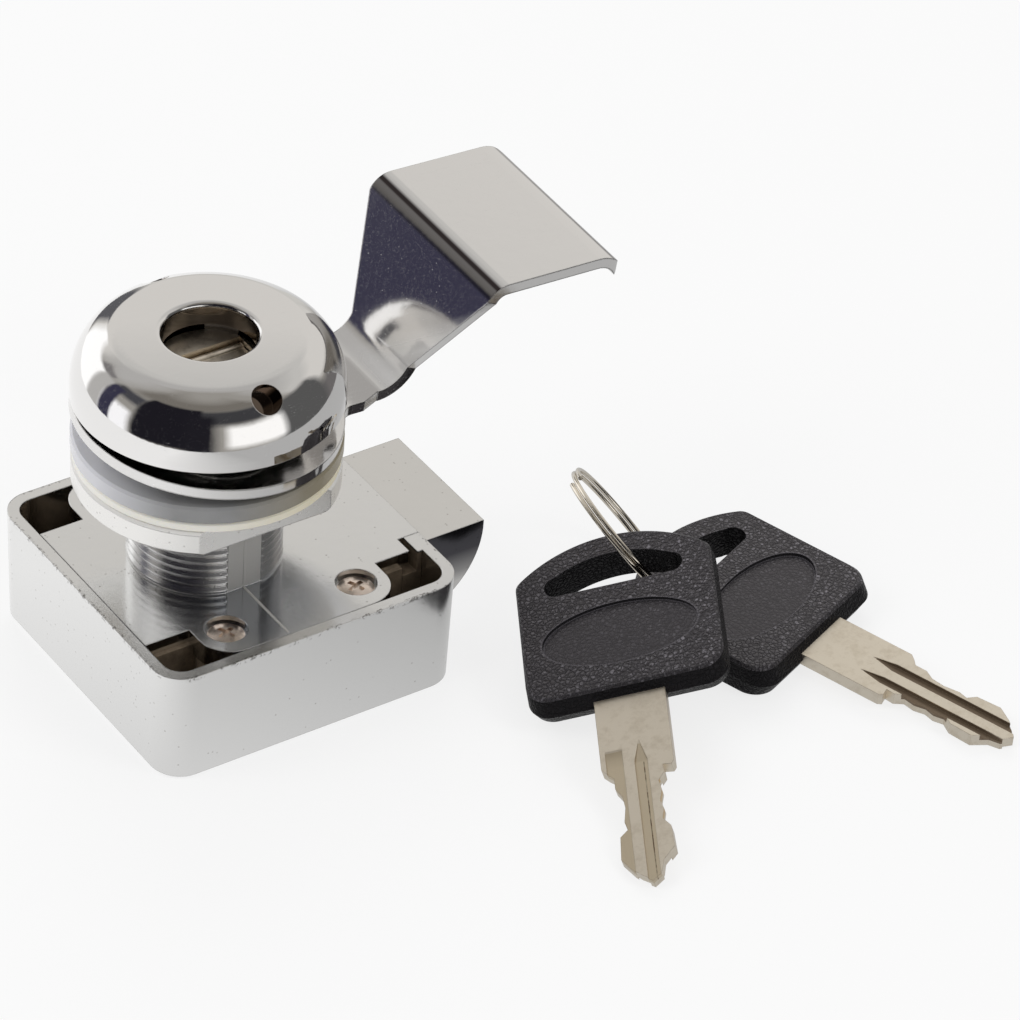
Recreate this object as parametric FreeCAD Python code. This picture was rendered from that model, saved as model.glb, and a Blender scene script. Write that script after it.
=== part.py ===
import FreeCAD, Part
import math
import os
from FreeCAD import Placement, Rotation, Vector

os.makedirs("parts", exist_ok=True)

# Slam lock on its own, with its two keys lying beside it. Sizes in millimetres.
# Origin: barrel axis at the face that meets the door. +X is the way the bolt points, +Z runs up the barrel.

# Case, an open die-cast tray
case_length = 41.8
case_width = 41.4
case_height = 15.6
case_centre_x = 3.3
case_centre_y = -0.5
case_corner = 4.0
case_wall = 1.5
case_floor = 1.6
case_draft = 0.25
case_foot_chamfer = 0.5
case_root = 0.4
wall_root = 0.375
post_radius = 3.6
web_thickness = 1.4
guide_gap = 0.1
guide_thickness = 1.0
cheek_length = 0.7
seat_pip_radius = 1.2
seat_pip_length = 2.0
floor_rail_width = 1.6
floor_rail_gap = 0.05
pilot_hole_radius = 1.3

# Cover plate with the barrel cast on it
plate_thickness = 1.8
plate_edge_gap = 0.1
plate_step_gap = 0.85
plate_centre_x = 3.1
band_half_width = 12.5
ear_half_length = 13.1
ear_corner = 4.2
screw_half_x = 9.15
screw_half_y = 14.55
screw_recess_radius = 2.6
screw_recess_depth = 1.3
screw_hole_radius = 1.65
screw_radius = 1.25
screw_head_radius = 2.3
screw_head_height = 0.8
screw_reach = 7.5
screw_point = 0.4
screw_cross_half = 1.15
screw_cross_width = 0.6
screw_cross_turn = 20.0
ear_boss_radius = 3.9
ear_boss_drop = 1.2
barrel_radius = 9.5
barrel_flat = 9.12
barrel_height = 28.9
barrel_chamfer = 0.5
thread_pitch = 1.1
thread_first = 0.9
thread_count = 9
thread_over_flat = 0.02
thread_crest = 0.03
plug_bore_radius = 6.35
tail_bore_radius = 4.05
tail_bore_top = 2.0
wafer_groove_reach = 7.4
wafer_groove_width = 5.6

# Latch bolt
bolt_throw = 9.3
bolt_tip_x = 33.95
bolt_nose_half_width = 9.75
bolt_body_half_width = 12.0
bolt_body_front = 19.9
bolt_rear = -6.5
bolt_top_gap = 0.1
bolt_height = 10.7
nose_radius = 11.75
nose_flat = 0.5
nose_slot_gap = 0.18
bolt_spring_offset = 7.4
bolt_spring_drop = 7.3
bolt_spring_hole_radius = 2.3
bolt_spring_hole_end = 9.0
bolt_spring_clearance = 0.3
bolt_spring_wire = 0.5

# Drive cam: its pushing edge is the involute of a circle whose radius is the throw per radian of turn
cam_start = 0.3
cam_contact_gap = 0.05
cam_hub_radius = 4.6
cam_nose_radius = 1.0
cam_thickness = 3.0
cam_drop = 0.4
cam_pocket_gap = 0.3
cam_screw_radius = 2.8
cam_screw_height = 1.9
cam_screw_thread = 1.45
cam_screw_reach = 7.5
cam_screw_gap = 0.4
cam_screw_chamfer = 0.4
cam_cross_half = 1.5
cam_cross_width = 0.7
cam_washer_thickness = 0.5
cam_washer_overlap = 0.2
cam_washer_play = 0.15
tail_square = 4.6
tail_fit = 0.03

# Plug, wafers and dust shutter
plug_radius = 6.3
plug_drop = 0.9
plug_edge = 0.25
plug_fit = 0.05
plug_shoulder_gap = 0.1
mouth_length = 11.0
mouth_width = 4.3
mouth_depth = 5.4
keyway_length = 7.1
keyway_width = 2.1
keyway_bottom = 4.6
wafer_count = 5
wafer_first = 10.9
wafer_pitch = 2.4
wafer_thickness = 0.8
wafer_slot_gap = 0.06
wafer_half_width = 2.5
wafer_reach = 6.18
wafer_window = 9.0
wafer_groove_margin = 1.2
wafer_lug_length = 1.0
wafer_spring_radius = 0.45
wafer_spring_length = 3.7
shutter_drop = 0.75
shutter_thickness = 0.6
shutter_gap = 0.15
shutter_axis_inset = 0.75
shutter_pin_radius = 0.3
shutter_pin_grip = 0.45

# Stack on the barrel
thread_fit = 0.06
nut_radius = 16.3
nut_flat = 13.5
nut_bottom = 11.0
nut_thickness = 3.3
washer_play = 0.35
washer_edge = 0.3
nut_edge = 0.35
thin_washer_radius = 16.2
thin_washer_thickness = 1.4
thick_washer_radius = 16.4
thick_washer_thickness = 2.36

# Finger pull plate, cut and bent from one sheet
sheet = 1.45
pull_ring_radius = 16.5
pull_hole_play = 0.5
pull_neck_half = 7.0
pull_bend_half = 5.9
pull_tab_half = 12.7
pull_slope = 68.8
pull_bend_x = 23.4
pull_low_bend_radius = 4.0
pull_high_bend_radius = 3.0
pull_tab_corner = 2.5
pull_tab_rise = 17.2
pull_lip_x = 45.6
pull_lip_radius = 4.5
pull_lip_turn = 50.0
pull_lip_end = 1.2
pull_neck_fillet = 2.2
pull_neck_straight = 1.5
# The plate lies loose and a little tilted between the washer and the dome
pull_height = 21.26
pull_yaw = 1.7
pull_tilt_y = 4.63
pull_tilt_x = 3.74

# Dome cap
dome_radius = 16.55
dome_bottom = 23.05
dome_end_gap = 0.1
dome_shoulder_z = 24.6
dome_flat_radius = 10.8
dome_roof = 3.0
dome_hole_radius = 5.75
dome_lip_radius = 0.65
dome_rim_chamfer = 0.35
spanner_hole_radius = 1.9
spanner_hole_reach = 13.75
spanner_hole_tilt = 40.0
spanner_hole_depth = 3.2
spanner_hole_turn = -2.0

# Keys
head_half_width = 12.5
head_side = 19.9
head_apex = 25.1
head_thickness = 4.6
head_side_draft = 0.2
head_low_draft = 0.9
head_rim = 0.35
head_low_corner = 3.0
head_high_corner = 1.6
head_slot_half = 8.7
head_slot_low = 16.8
head_slot_high = 21.8
head_slot_side = 19.7
head_slot_end = 1.2
head_oval_length = 9.7
head_oval_width = 4.7
head_oval_y = 9.2
head_oval_depth = 0.45
blade_half_width = 4.42
blade_thickness = 1.64
blade_root = 11.0
blade_length = 27.8
blade_rear_depth = 0.5
blade_rear_groove_1 = -1.65
blade_rear_groove_1_width = 1.4
blade_rear_groove_2 = 1.35
blade_rear_groove_2_width = 1.2
blade_front_depth = 0.3
blade_front_groove = -0.3
blade_front_groove_width = 1.55
blade_point_start = 6.7
blade_point_length = 3.2
blade_step_outer = -3.77
blade_step_inner = -1.7
blade_step_start = 7.6
blade_mill_radius = 9.0
key_1_place = (35.12, -41.36, -9.14)
key_1_turn = (-28.4, 11.3, -18.2)
key_2_place = (65.23, -39.79, -12.99)
key_2_turn = (21.4, 3.4, -2.0)

# Split ring
ring_radius = 10.097
ring_wire_radius = 0.3
ring_pitch = 0.66
ring_quarters = 8
ring_centre = (51.05, -16.76, -6.58)
ring_normal = (0.77096, -0.17436, 0.61255)
ring_start_angle = 150.0


def box(x0, x1, y0, y1, z0, z1):
    return Part.makeBox(x1 - x0, y1 - y0, z1 - z0, Vector(x0, y0, z0))


def cylinder(radius, z0, z1, x=0.0, y=0.0):
    return Part.makeCylinder(radius, z1 - z0, Vector(x, y, z0))


def polygon(points, z):
    corners = [Vector(x, y, z) for x, y in points]
    return Part.makePolygon(corners + [corners[0]])


def slab(points, z0, z1):
    return Part.Face(polygon(points, z0)).extrude(Vector(0, 0, z1 - z0))


def rounded_rectangle(cx, cy, half_x, half_y, radius, z):
    lines = []
    arc_mid = radius * (1 - math.sqrt(0.5))
    for sx, sy, first in ((1, 1, "x"), (-1, 1, "y"), (-1, -1, "x"), (1, -1, "y")):
        side = Vector(cx + sx * half_x, cy + sy * (half_y - radius), z)
        end = Vector(cx + sx * (half_x - radius), cy + sy * half_y, z)
        mid = Vector(cx + sx * (half_x - arc_mid), cy + sy * (half_y - arc_mid), z)
        lines.append((side, mid, end) if first == "x" else (end, mid, side))
    edges = []
    for i, (a, m, b) in enumerate(lines):
        edges.append(Part.Arc(a, m, b).toShape())
        edges.append(Part.makeLine(b, lines[(i + 1) % 4][0]))
    return Part.Wire(edges)


def revolved(points):
    """Solid of revolution about Z. Each entry is a corner (r, z) or, for an arc, its middle and end."""
    edges = []
    here = Vector(points[0][0], 0, points[0][1])
    for step in points[1:] + [points[0]]:
        if len(step) == 2:
            there = Vector(step[0], 0, step[1])
            edges.append(Part.makeLine(here, there))
        else:
            middle = Vector(step[0], 0, step[1])
            there = Vector(step[2], 0, step[3])
            edges.append(Part.Arc(here, middle, there).toShape())
        here = there
    return Part.Face(Part.Wire(edges)).revolve(Vector(0, 0, 0), Vector(0, 0, 1), 360)


def ring(outer, inner, z0, z1, chamfer):
    return revolved([
        (inner, z0), (outer - chamfer, z0), (outer, z0 + chamfer),
        (outer, z1 - chamfer), (outer - chamfer, z1), (inner, z1),
    ])


def export(shape, node):
    shape.exportStep("parts/%s.step" % node)


# Levels and places that follow from the sizes above
plug_face = barrel_height - plug_drop
washer_bore = barrel_radius + washer_play
pull_hole_radius = barrel_radius + pull_hole_play
dome_top = barrel_height + dome_end_gap + dome_roof
thread_root = barrel_flat + thread_over_flat
case_bottom = -case_height
floor_top = case_bottom + case_floor
wall_rear = case_centre_x - case_length / 2 + case_wall
wall_front = case_centre_x + case_length / 2 - case_wall
face_front = case_centre_x + case_length / 2
plate_under = -plate_thickness
bolt_top = plate_under - bolt_top_gap
bolt_bottom = bolt_top - bolt_height
cam_top = plate_under - cam_drop
cam_bottom = cam_top - cam_thickness
throw_per_radian = bolt_throw / (math.pi / 2)
guide_in = bolt_body_half_width + guide_gap
guide_out = guide_in + guide_thickness
post_top = plate_under - ear_boss_drop
screw_places = [
    (plate_centre_x + sx * screw_half_x, case_centre_y + sy * screw_half_y)
    for sx in (-1, 1) for sy in (-1, 1)
]
wafer_levels = [wafer_first + i * wafer_pitch for i in range(wafer_count)]
shutter_axis_z = plug_face - shutter_drop - shutter_thickness / 2
shutter_axis = Vector(0, mouth_width / 2 - shutter_axis_inset, shutter_axis_z)


def band(x0, x1, near, far, z0, z1, side):
    """Box beside the case's middle line, from one distance to another, on the +Y or -Y side."""
    y0, y1 = sorted((case_centre_y + side * near, case_centre_y + side * far))
    return box(x0, x1, y0, y1, z0, z1)


def case_tray():
    rim_x = case_length / 2
    rim_y = case_width / 2
    foot_x = rim_x - case_draft
    foot_y = rim_y - case_draft
    chamfer = case_foot_chamfer
    sections = (
        (rim_x, rim_y, case_corner, 0.0),
        (foot_x, foot_y, case_corner, case_bottom + chamfer),
        (foot_x - chamfer, foot_y - chamfer, case_corner - chamfer, case_bottom),
    )
    wires = [rounded_rectangle(case_centre_x, case_centre_y, a, b, r, z) for a, b, r, z in sections]
    tray = Part.makeLoft(wires, True, True)
    hollow = rounded_rectangle(
        case_centre_x, case_centre_y, rim_x - case_wall, rim_y - case_wall,
        case_corner - case_wall, floor_top)
    tray = tray.cut(Part.Face(hollow).extrude(Vector(0, 0, case_height)))
    root = floor_top - case_root
    slot_half = bolt_nose_half_width + nose_slot_gap
    wall_mid_y = rim_y - case_wall / 2
    wall_mid_front = wall_front + wall_root
    wall_mid_rear = wall_rear - wall_root
    pieces = []
    for s in (-1, 1):
        pieces.append(band(wall_mid_rear, bolt_body_front, guide_in, guide_out, root, plate_under, s))
        pieces.append(band(
            bolt_body_front + cam_contact_gap, wall_mid_front, slot_half, guide_out, root, post_top, s))
        pieces.append(band(wall_front - cheek_length, wall_mid_front, slot_half, guide_out, root, 0, s))
        pieces.append(band(
            wall_rear + seat_pip_length, wall_mid_front, guide_in - floor_rail_width, guide_in,
            root, bolt_bottom - floor_rail_gap, s))
        pieces.append(Part.makeCylinder(
            seat_pip_radius, seat_pip_length + wall_root,
            Vector(wall_mid_rear, case_centre_y + s * bolt_spring_offset, bolt_top - bolt_spring_drop),
            Vector(1, 0, 0)))
    for x, y in screw_places:
        s = 1 if y > case_centre_y else -1
        post = cylinder(post_radius, root, post_top, x, y)
        beyond = band(
            x - post_radius, x + post_radius, (guide_in + guide_out) / 2, wall_mid_y, root, post_top, s)
        pieces.append(post.common(beyond))
        half = web_thickness / 2
        pieces.append(band(x - half, x + half, screw_half_y, wall_mid_y, root, post_top, s))
    tray = tray.fuse(pieces)
    tray = tray.cut(box(
        bolt_body_front + cam_contact_gap, face_front + 1, case_centre_y - slot_half,
        case_centre_y + slot_half, bolt_bottom - nose_slot_gap, 1))
    for x, y in screw_places:
        tray = tray.cut(cylinder(pilot_hole_radius, floor_top + 1, 0, x, y))
    return tray.removeSplitter()


def cover_plate():
    ear_half_y = case_width / 2 - case_wall - plate_edge_gap
    step_x = wall_front - cheek_length - plate_step_gap
    middle = box(
        wall_rear + plate_edge_gap, step_x, case_centre_y - band_half_width,
        case_centre_y + band_half_width, plate_under, 0)
    ear_outline = rounded_rectangle(
        plate_centre_x, case_centre_y, ear_half_length, ear_half_y, ear_corner, plate_under)
    ears = Part.Face(ear_outline).extrude(Vector(0, 0, plate_thickness))
    tongue_half = bolt_nose_half_width + plate_edge_gap
    tongue = box(
        step_x - 1, face_front, case_centre_y - tongue_half, case_centre_y + tongue_half, plate_under, 0)
    pieces = [ears, tongue]
    for x, y in screw_places:
        s = 1 if y > case_centre_y else -1
        boss = cylinder(ear_boss_radius, post_top, plate_under / 2, x, y)
        beyond = band(
            x - ear_boss_radius, x + ear_boss_radius, guide_out + plate_edge_gap, ear_half_y,
            post_top, plate_under / 2, s)
        pieces.append(boss.common(beyond))
    barrel = revolved([
        (0, plate_under), (barrel_radius, plate_under), (barrel_radius, barrel_height - barrel_chamfer),
        (barrel_radius - barrel_chamfer, barrel_height), (0, barrel_height),
    ])
    crest = barrel_radius + thread_crest
    comb = [(crest + 1, thread_first - thread_pitch / 2), (crest, thread_first - thread_pitch / 2)]
    for i in range(thread_count):
        z = thread_first + i * thread_pitch
        comb += [(thread_root, z), (crest, z + thread_pitch / 2)]
    comb.append((crest + 1, comb[-1][1]))
    barrel = barrel.cut(revolved(comb))
    pieces.append(barrel.common(box(
        -barrel_radius, barrel_radius, -barrel_flat, barrel_flat, plate_under, barrel_height)))
    plate = middle.fuse(pieces)
    plate = plate.cut(cylinder(tail_bore_radius, plate_under - 1, tail_bore_top + 1))
    plate = plate.cut(cylinder(plug_bore_radius, tail_bore_top, barrel_height + 1))
    for quarter in range(2):
        groove = box(
            -wafer_groove_reach, wafer_groove_reach, -wafer_groove_width / 2, wafer_groove_width / 2,
            wafer_first - wafer_groove_margin, barrel_height + 1)
        groove.rotate(Vector(0, 0, 0), Vector(0, 0, 1), 90 * quarter)
        plate = plate.cut(groove)
    for x, y in screw_places:
        plate = plate.cut(cylinder(screw_recess_radius, -screw_recess_depth, 1, x, y))
        plate = plate.cut(cylinder(screw_hole_radius, post_top - 1, 1, x, y))
    return plate.removeSplitter()


def cover_screws():
    solids = []
    seat = -screw_recess_depth
    head = screw_head_radius
    tall = screw_head_height
    tip = seat - screw_reach
    for x, y in screw_places:
        screw = revolved([
            (0, tip), (screw_radius - screw_point, tip), (screw_radius, tip + screw_radius),
            (screw_radius, seat), (head, seat), (head, seat + tall / 2),
            (head * 0.7, seat + tall * 0.8, 0, seat + tall),
        ])
        for turn in (0, 90):
            arm = box(
                -screw_cross_half, screw_cross_half, -screw_cross_width / 2, screw_cross_width / 2,
                seat + tall / 2, seat + tall + 1)
            arm.rotate(Vector(0, 0, 0), Vector(0, 0, 1), turn + screw_cross_turn)
            screw = screw.cut(arm)
        screw.translate(Vector(x, y, 0))
        solids.append(screw)
    return Part.makeCompound(solids)


def bolt_section():
    """Side view of the bolt's sloping nose, from its shoulders forward."""
    centre = Vector(bolt_tip_x - nose_radius, 0, bolt_top - nose_flat)
    reach = math.sqrt(nose_radius ** 2 - (bolt_height - nose_flat) ** 2)
    angle = math.acos(reach / nose_radius)
    middle = centre + Vector(nose_radius * math.cos(angle / 2), 0, -nose_radius * math.sin(angle / 2))
    a = Vector(bolt_body_front - 1, 0, bolt_top)
    b = Vector(bolt_tip_x, 0, bolt_top)
    c = Vector(bolt_tip_x, 0, bolt_top - nose_flat)
    d = Vector(centre.x + reach, 0, bolt_bottom)
    e = Vector(bolt_body_front - 1, 0, bolt_bottom)
    return Part.Wire([
        Part.makeLine(a, b), Part.makeLine(b, c), Part.Arc(c, middle, d).toShape(),
        Part.makeLine(d, e), Part.makeLine(e, a),
    ])


def latch_bolt():
    nose = Part.Face(bolt_section()).extrude(Vector(0, 2 * bolt_nose_half_width, 0))
    nose.translate(Vector(0, case_centre_y - bolt_nose_half_width, 0))
    body = box(
        bolt_rear, bolt_body_front, case_centre_y - bolt_body_half_width,
        case_centre_y + bolt_body_half_width, bolt_bottom, bolt_top)
    bolt = body.fuse(nose)
    gap = cam_pocket_gap
    floor = cam_bottom - gap
    hub = cam_hub_radius + gap
    shoulder = -cam_start - cam_contact_gap
    arm_end = throw_per_radian + cam_nose_radius + bolt_throw + gap
    arm_swing = math.hypot(throw_per_radian, cam_start + bolt_throw - cam_nose_radius) + cam_nose_radius
    arm_side = -arm_swing - gap
    bolt = bolt.cut(box(shoulder, arm_end, arm_side, 0, floor, bolt_top + 1))
    bolt = bolt.cut(box(0, bolt_throw, -hub, hub, floor, bolt_top + 1))
    bolt = bolt.cut(cylinder(hub, floor, bolt_top + 1))
    bolt = bolt.cut(cylinder(hub, floor, bolt_top + 1, bolt_throw, 0))
    screw_room = cam_screw_radius + cam_screw_gap
    screw_floor = cam_bottom - cam_washer_thickness - cam_screw_height - cam_screw_gap
    bolt = bolt.cut(box(0, bolt_throw, -screw_room, screw_room, screw_floor, floor + gap))
    bolt = bolt.cut(cylinder(screw_room, screw_floor, floor + gap))
    bolt = bolt.cut(cylinder(screw_room, screw_floor, floor + gap, bolt_throw, 0))
    for s in (-1, 1):
        hole = Part.makeCylinder(
            bolt_spring_hole_radius, bolt_spring_hole_end - bolt_rear + 1,
            Vector(bolt_rear - 1, case_centre_y + s * bolt_spring_offset, bolt_top - bolt_spring_drop),
            Vector(1, 0, 0))
        bolt = bolt.cut(hole)
    return bolt.removeSplitter()


def bolt_springs():
    """Two compression springs, drawn as plain sleeves because they are shut inside the case."""
    solids = []
    for s in (-1, 1):
        at = Vector(wall_rear, case_centre_y + s * bolt_spring_offset, bolt_top - bolt_spring_drop)
        long = bolt_spring_hole_end - wall_rear
        outer = bolt_spring_hole_radius - bolt_spring_clearance
        sleeve = Part.makeCylinder(outer, long, at, Vector(1, 0, 0))
        solids.append(sleeve.cut(Part.makeCylinder(outer - bolt_spring_wire, long, at, Vector(1, 0, 0))))
    return Part.makeCompound(solids)


def drive_cam():
    """Cam whose pushing edge keeps the bolt's travel in proportion to the plug's turn."""
    b = throw_per_radian
    steps = 12
    flank = []
    for i in range(steps + 1):
        turn = math.pi / 2 * i / steps
        push = cam_start + b * turn
        around = math.pi + turn
        x = push * math.cos(around) - b * math.sin(around)
        y = push * math.sin(around) + b * math.cos(around)
        flank.append(Vector(x, y, cam_bottom))
    spline = Part.BSplineCurve()
    spline.interpolate(flank)
    end = flank[-1]
    nose_mid = Vector(
        end.x + cam_nose_radius * math.sin(math.pi / 4),
        end.y + cam_nose_radius * (1 - math.cos(math.pi / 4)), cam_bottom)
    nose_end = Vector(end.x + cam_nose_radius, end.y + cam_nose_radius, cam_bottom)
    hub_low = Vector(-cam_start, -cam_hub_radius / 2, cam_bottom)
    hub_high = Vector(cam_hub_radius - cam_start, 0, cam_bottom)
    arm = Part.Face(Part.Wire([
        Part.makeLine(hub_low, flank[0]), spline.toShape(), Part.Arc(end, nose_mid, nose_end).toShape(),
        Part.makeLine(nose_end, hub_high), Part.makeLine(hub_high, hub_low),
    ])).extrude(Vector(0, 0, cam_thickness))
    cam = arm.fuse(cylinder(cam_hub_radius, cam_bottom, cam_top))
    half = tail_square / 2 + tail_fit
    return cam.cut(box(-half, half, -half, half, cam_bottom - 1, cam_top + 1)).removeSplitter()


def cam_washer():
    return ring(
        cam_screw_radius + cam_washer_overlap, cam_screw_thread + cam_washer_play,
        cam_bottom - cam_washer_thickness, cam_bottom, cam_washer_thickness / 5)


def cam_screw():
    top = cam_bottom - cam_washer_thickness
    low = top - cam_screw_height
    end = top + cam_screw_reach
    screw = revolved([
        (0, low), (cam_screw_radius - cam_screw_chamfer, low), (cam_screw_radius, low + cam_screw_chamfer),
        (cam_screw_radius, top),
        (cam_screw_thread, top), (cam_screw_thread, end), (0, end),
    ])
    for turn in (0, 90):
        arm = box(
            -cam_cross_half, cam_cross_half, -cam_cross_width / 2, cam_cross_width / 2,
            low - 1, low + cam_screw_height / 2)
        arm.rotate(Vector(0, 0, 0), Vector(0, 0, 1), turn)
        screw = screw.cut(arm)
    return screw


def wafer_side(i):
    """Wafers are pushed to +X and -X by turns."""
    return 1 if i % 2 == 0 else -1


def lock_plug():
    journal = tail_bore_radius - plug_fit
    shoulder = tail_bore_top + plug_shoulder_gap
    plug = revolved([
        (0, cam_top), (journal, cam_top), (journal, shoulder), (plug_radius, shoulder),
        (plug_radius, plug_face - plug_edge), (plug_radius - plug_edge, plug_face), (0, plug_face),
    ])
    half = tail_square / 2
    plug = plug.fuse(box(-half, half, -half, half, cam_bottom, cam_top))
    plug = plug.cut(box(
        -mouth_length / 2, mouth_length / 2, -mouth_width / 2, mouth_width / 2,
        plug_face - mouth_depth, plug_face + 1))
    plug = plug.cut(box(
        -keyway_length / 2, keyway_length / 2, -keyway_width / 2, keyway_width / 2,
        keyway_bottom, plug_face - mouth_depth + 1))
    gap = wafer_slot_gap
    half_z = wafer_thickness / 2 + gap
    side = wafer_half_width + gap
    room_x = wafer_spring_length / 2 + wafer_lug_length / 2 + gap
    room_y = wafer_half_width + 2 * wafer_spring_radius + 3 * gap
    for z in wafer_levels:
        plug = plug.cut(box(-plug_radius, plug_radius, -side, side, z - half_z, z + half_z))
        plug = plug.cut(box(
            -room_x, room_x, 0, room_y, z - wafer_spring_radius - gap, z + wafer_spring_radius + gap))
    length = mouth_length + 2 * shutter_pin_grip
    plug = plug.cut(Part.makeCylinder(
        shutter_pin_radius, length, shutter_axis - Vector(length / 2, 0, 0), Vector(1, 0, 0)))
    plug = plug.cut(cylinder(
        cam_screw_thread, cam_bottom - 1, cam_bottom - cam_washer_thickness + cam_screw_reach))
    return plug.removeSplitter()


def wafer_tumblers():
    solids = []
    for i, z in enumerate(wafer_levels):
        s = wafer_side(i)
        low = z - wafer_thickness / 2
        high = z + wafer_thickness / 2
        wafer = cylinder(wafer_reach, low, high).common(
            box(-plug_radius, plug_radius, -wafer_half_width, wafer_half_width, low, high))
        near = wafer_spring_length / 2 - wafer_lug_length / 2
        x0, x1 = sorted((s * near, s * (near + wafer_lug_length)))
        lug_top = wafer_half_width + 2 * wafer_spring_radius
        wafer = wafer.fuse(box(x0, x1, wafer_half_width - wafer_spring_radius, lug_top, low, high))
        half = wafer_window / 2
        wafer = wafer.cut(box(-half, half, -keyway_width / 2, keyway_width / 2, low - 1, high + 1))
        solids.append(wafer.removeSplitter())
    return Part.makeCompound(solids)


def wafer_springs():
    """The wafers' small springs, drawn as plain rods because they are shut inside the plug."""
    solids = []
    for i, z in enumerate(wafer_levels):
        s = wafer_side(i)
        start = -s * (wafer_spring_length / 2 + wafer_lug_length / 2)
        at = Vector(start, wafer_half_width + wafer_spring_radius + wafer_slot_gap, z)
        solids.append(Part.makeCylinder(wafer_spring_radius, wafer_spring_length, at, Vector(s, 0, 0)))
    return Part.makeCompound(solids)


def dust_shutter():
    axis = shutter_axis
    half = mouth_length / 2 - shutter_gap
    top = plug_face - shutter_drop
    flap = box(-half, half, -mouth_width / 2 + shutter_gap, axis.y, top - shutter_thickness, top)
    start = Vector(-half, axis.y, axis.z)
    knuckle = Part.makeCylinder(shutter_axis_inset - shutter_gap, 2 * half, start, Vector(1, 0, 0))
    hole = Part.makeCylinder(shutter_pin_radius + plug_fit, 2 * half, start, Vector(1, 0, 0))
    return flap.fuse(knuckle).cut(hole).removeSplitter()


def shutter_pin():
    length = mouth_length + 2 * shutter_pin_grip
    return Part.makeCylinder(
        shutter_pin_radius, length, shutter_axis - Vector(length / 2, 0, 0), Vector(1, 0, 0))


def clamp_nut():
    top = nut_bottom + nut_thickness
    nut = ring(nut_radius, barrel_radius + thread_fit, nut_bottom, top, nut_edge)
    return nut.common(box(-nut_radius, nut_radius, -nut_flat, nut_flat, nut_bottom, top))


def thin_washer():
    low = nut_bottom + nut_thickness
    return ring(thin_washer_radius, washer_bore, low, low + thin_washer_thickness, washer_edge)


def thick_washer():
    low = nut_bottom + nut_thickness + thin_washer_thickness
    return ring(thick_washer_radius, washer_bore, low, low + thick_washer_thickness, washer_edge)


def pull_profile():
    """Side view of the sheet from the neck's bend to the lip, its upper line first."""
    slope = math.radians(pull_slope)
    lean = math.tan(slope / 2)
    r1 = pull_low_bend_radius
    r2 = pull_high_bend_radius
    top_x = pull_bend_x + pull_tab_rise / math.tan(slope)
    turn = math.radians(pull_lip_turn)

    def line(offset):
        ra = r1 + offset
        rb = r2 - offset
        rc = pull_lip_radius - offset
        ca = Vector(pull_bend_x - r1 * lean, 0, r1)
        cb = Vector(top_x + r2 * lean, 0, pull_tab_rise - r2)
        cc = Vector(pull_lip_x, 0, pull_tab_rise - pull_lip_radius)

        def at(centre, radius, angle):
            return centre + Vector(radius * math.sin(angle), 0, radius * math.cos(angle))

        pts = [at(ca, -ra, 0), at(ca, -ra, -slope / 2), at(ca, -ra, -slope)]
        pts += [at(cb, rb, -slope), at(cb, rb, -slope / 2), at(cb, rb, 0)]
        pts += [at(cc, rc, 0), at(cc, rc, turn / 2), at(cc, rc, turn)]
        pts.append(pts[-1] + Vector(math.cos(turn), 0, -math.sin(turn)) * pull_lip_end)
        return pts

    up = line(0)
    down = line(sheet)
    edges = []
    for p in (up, down):
        edges.append(Part.Arc(p[0], p[1], p[2]).toShape())
        edges.append(Part.makeLine(p[2], p[3]))
        edges.append(Part.Arc(p[3], p[4], p[5]).toShape())
        edges.append(Part.makeLine(p[5], p[6]))
        edges.append(Part.Arc(p[6], p[7], p[8]).toShape())
        edges.append(Part.makeLine(p[8], p[9]))
    edges.append(Part.makeLine(up[9], down[9]))
    edges.append(Part.makeLine(up[0], down[0]))
    return Part.Wire(Part.__sortEdges__(edges)), up


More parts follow.
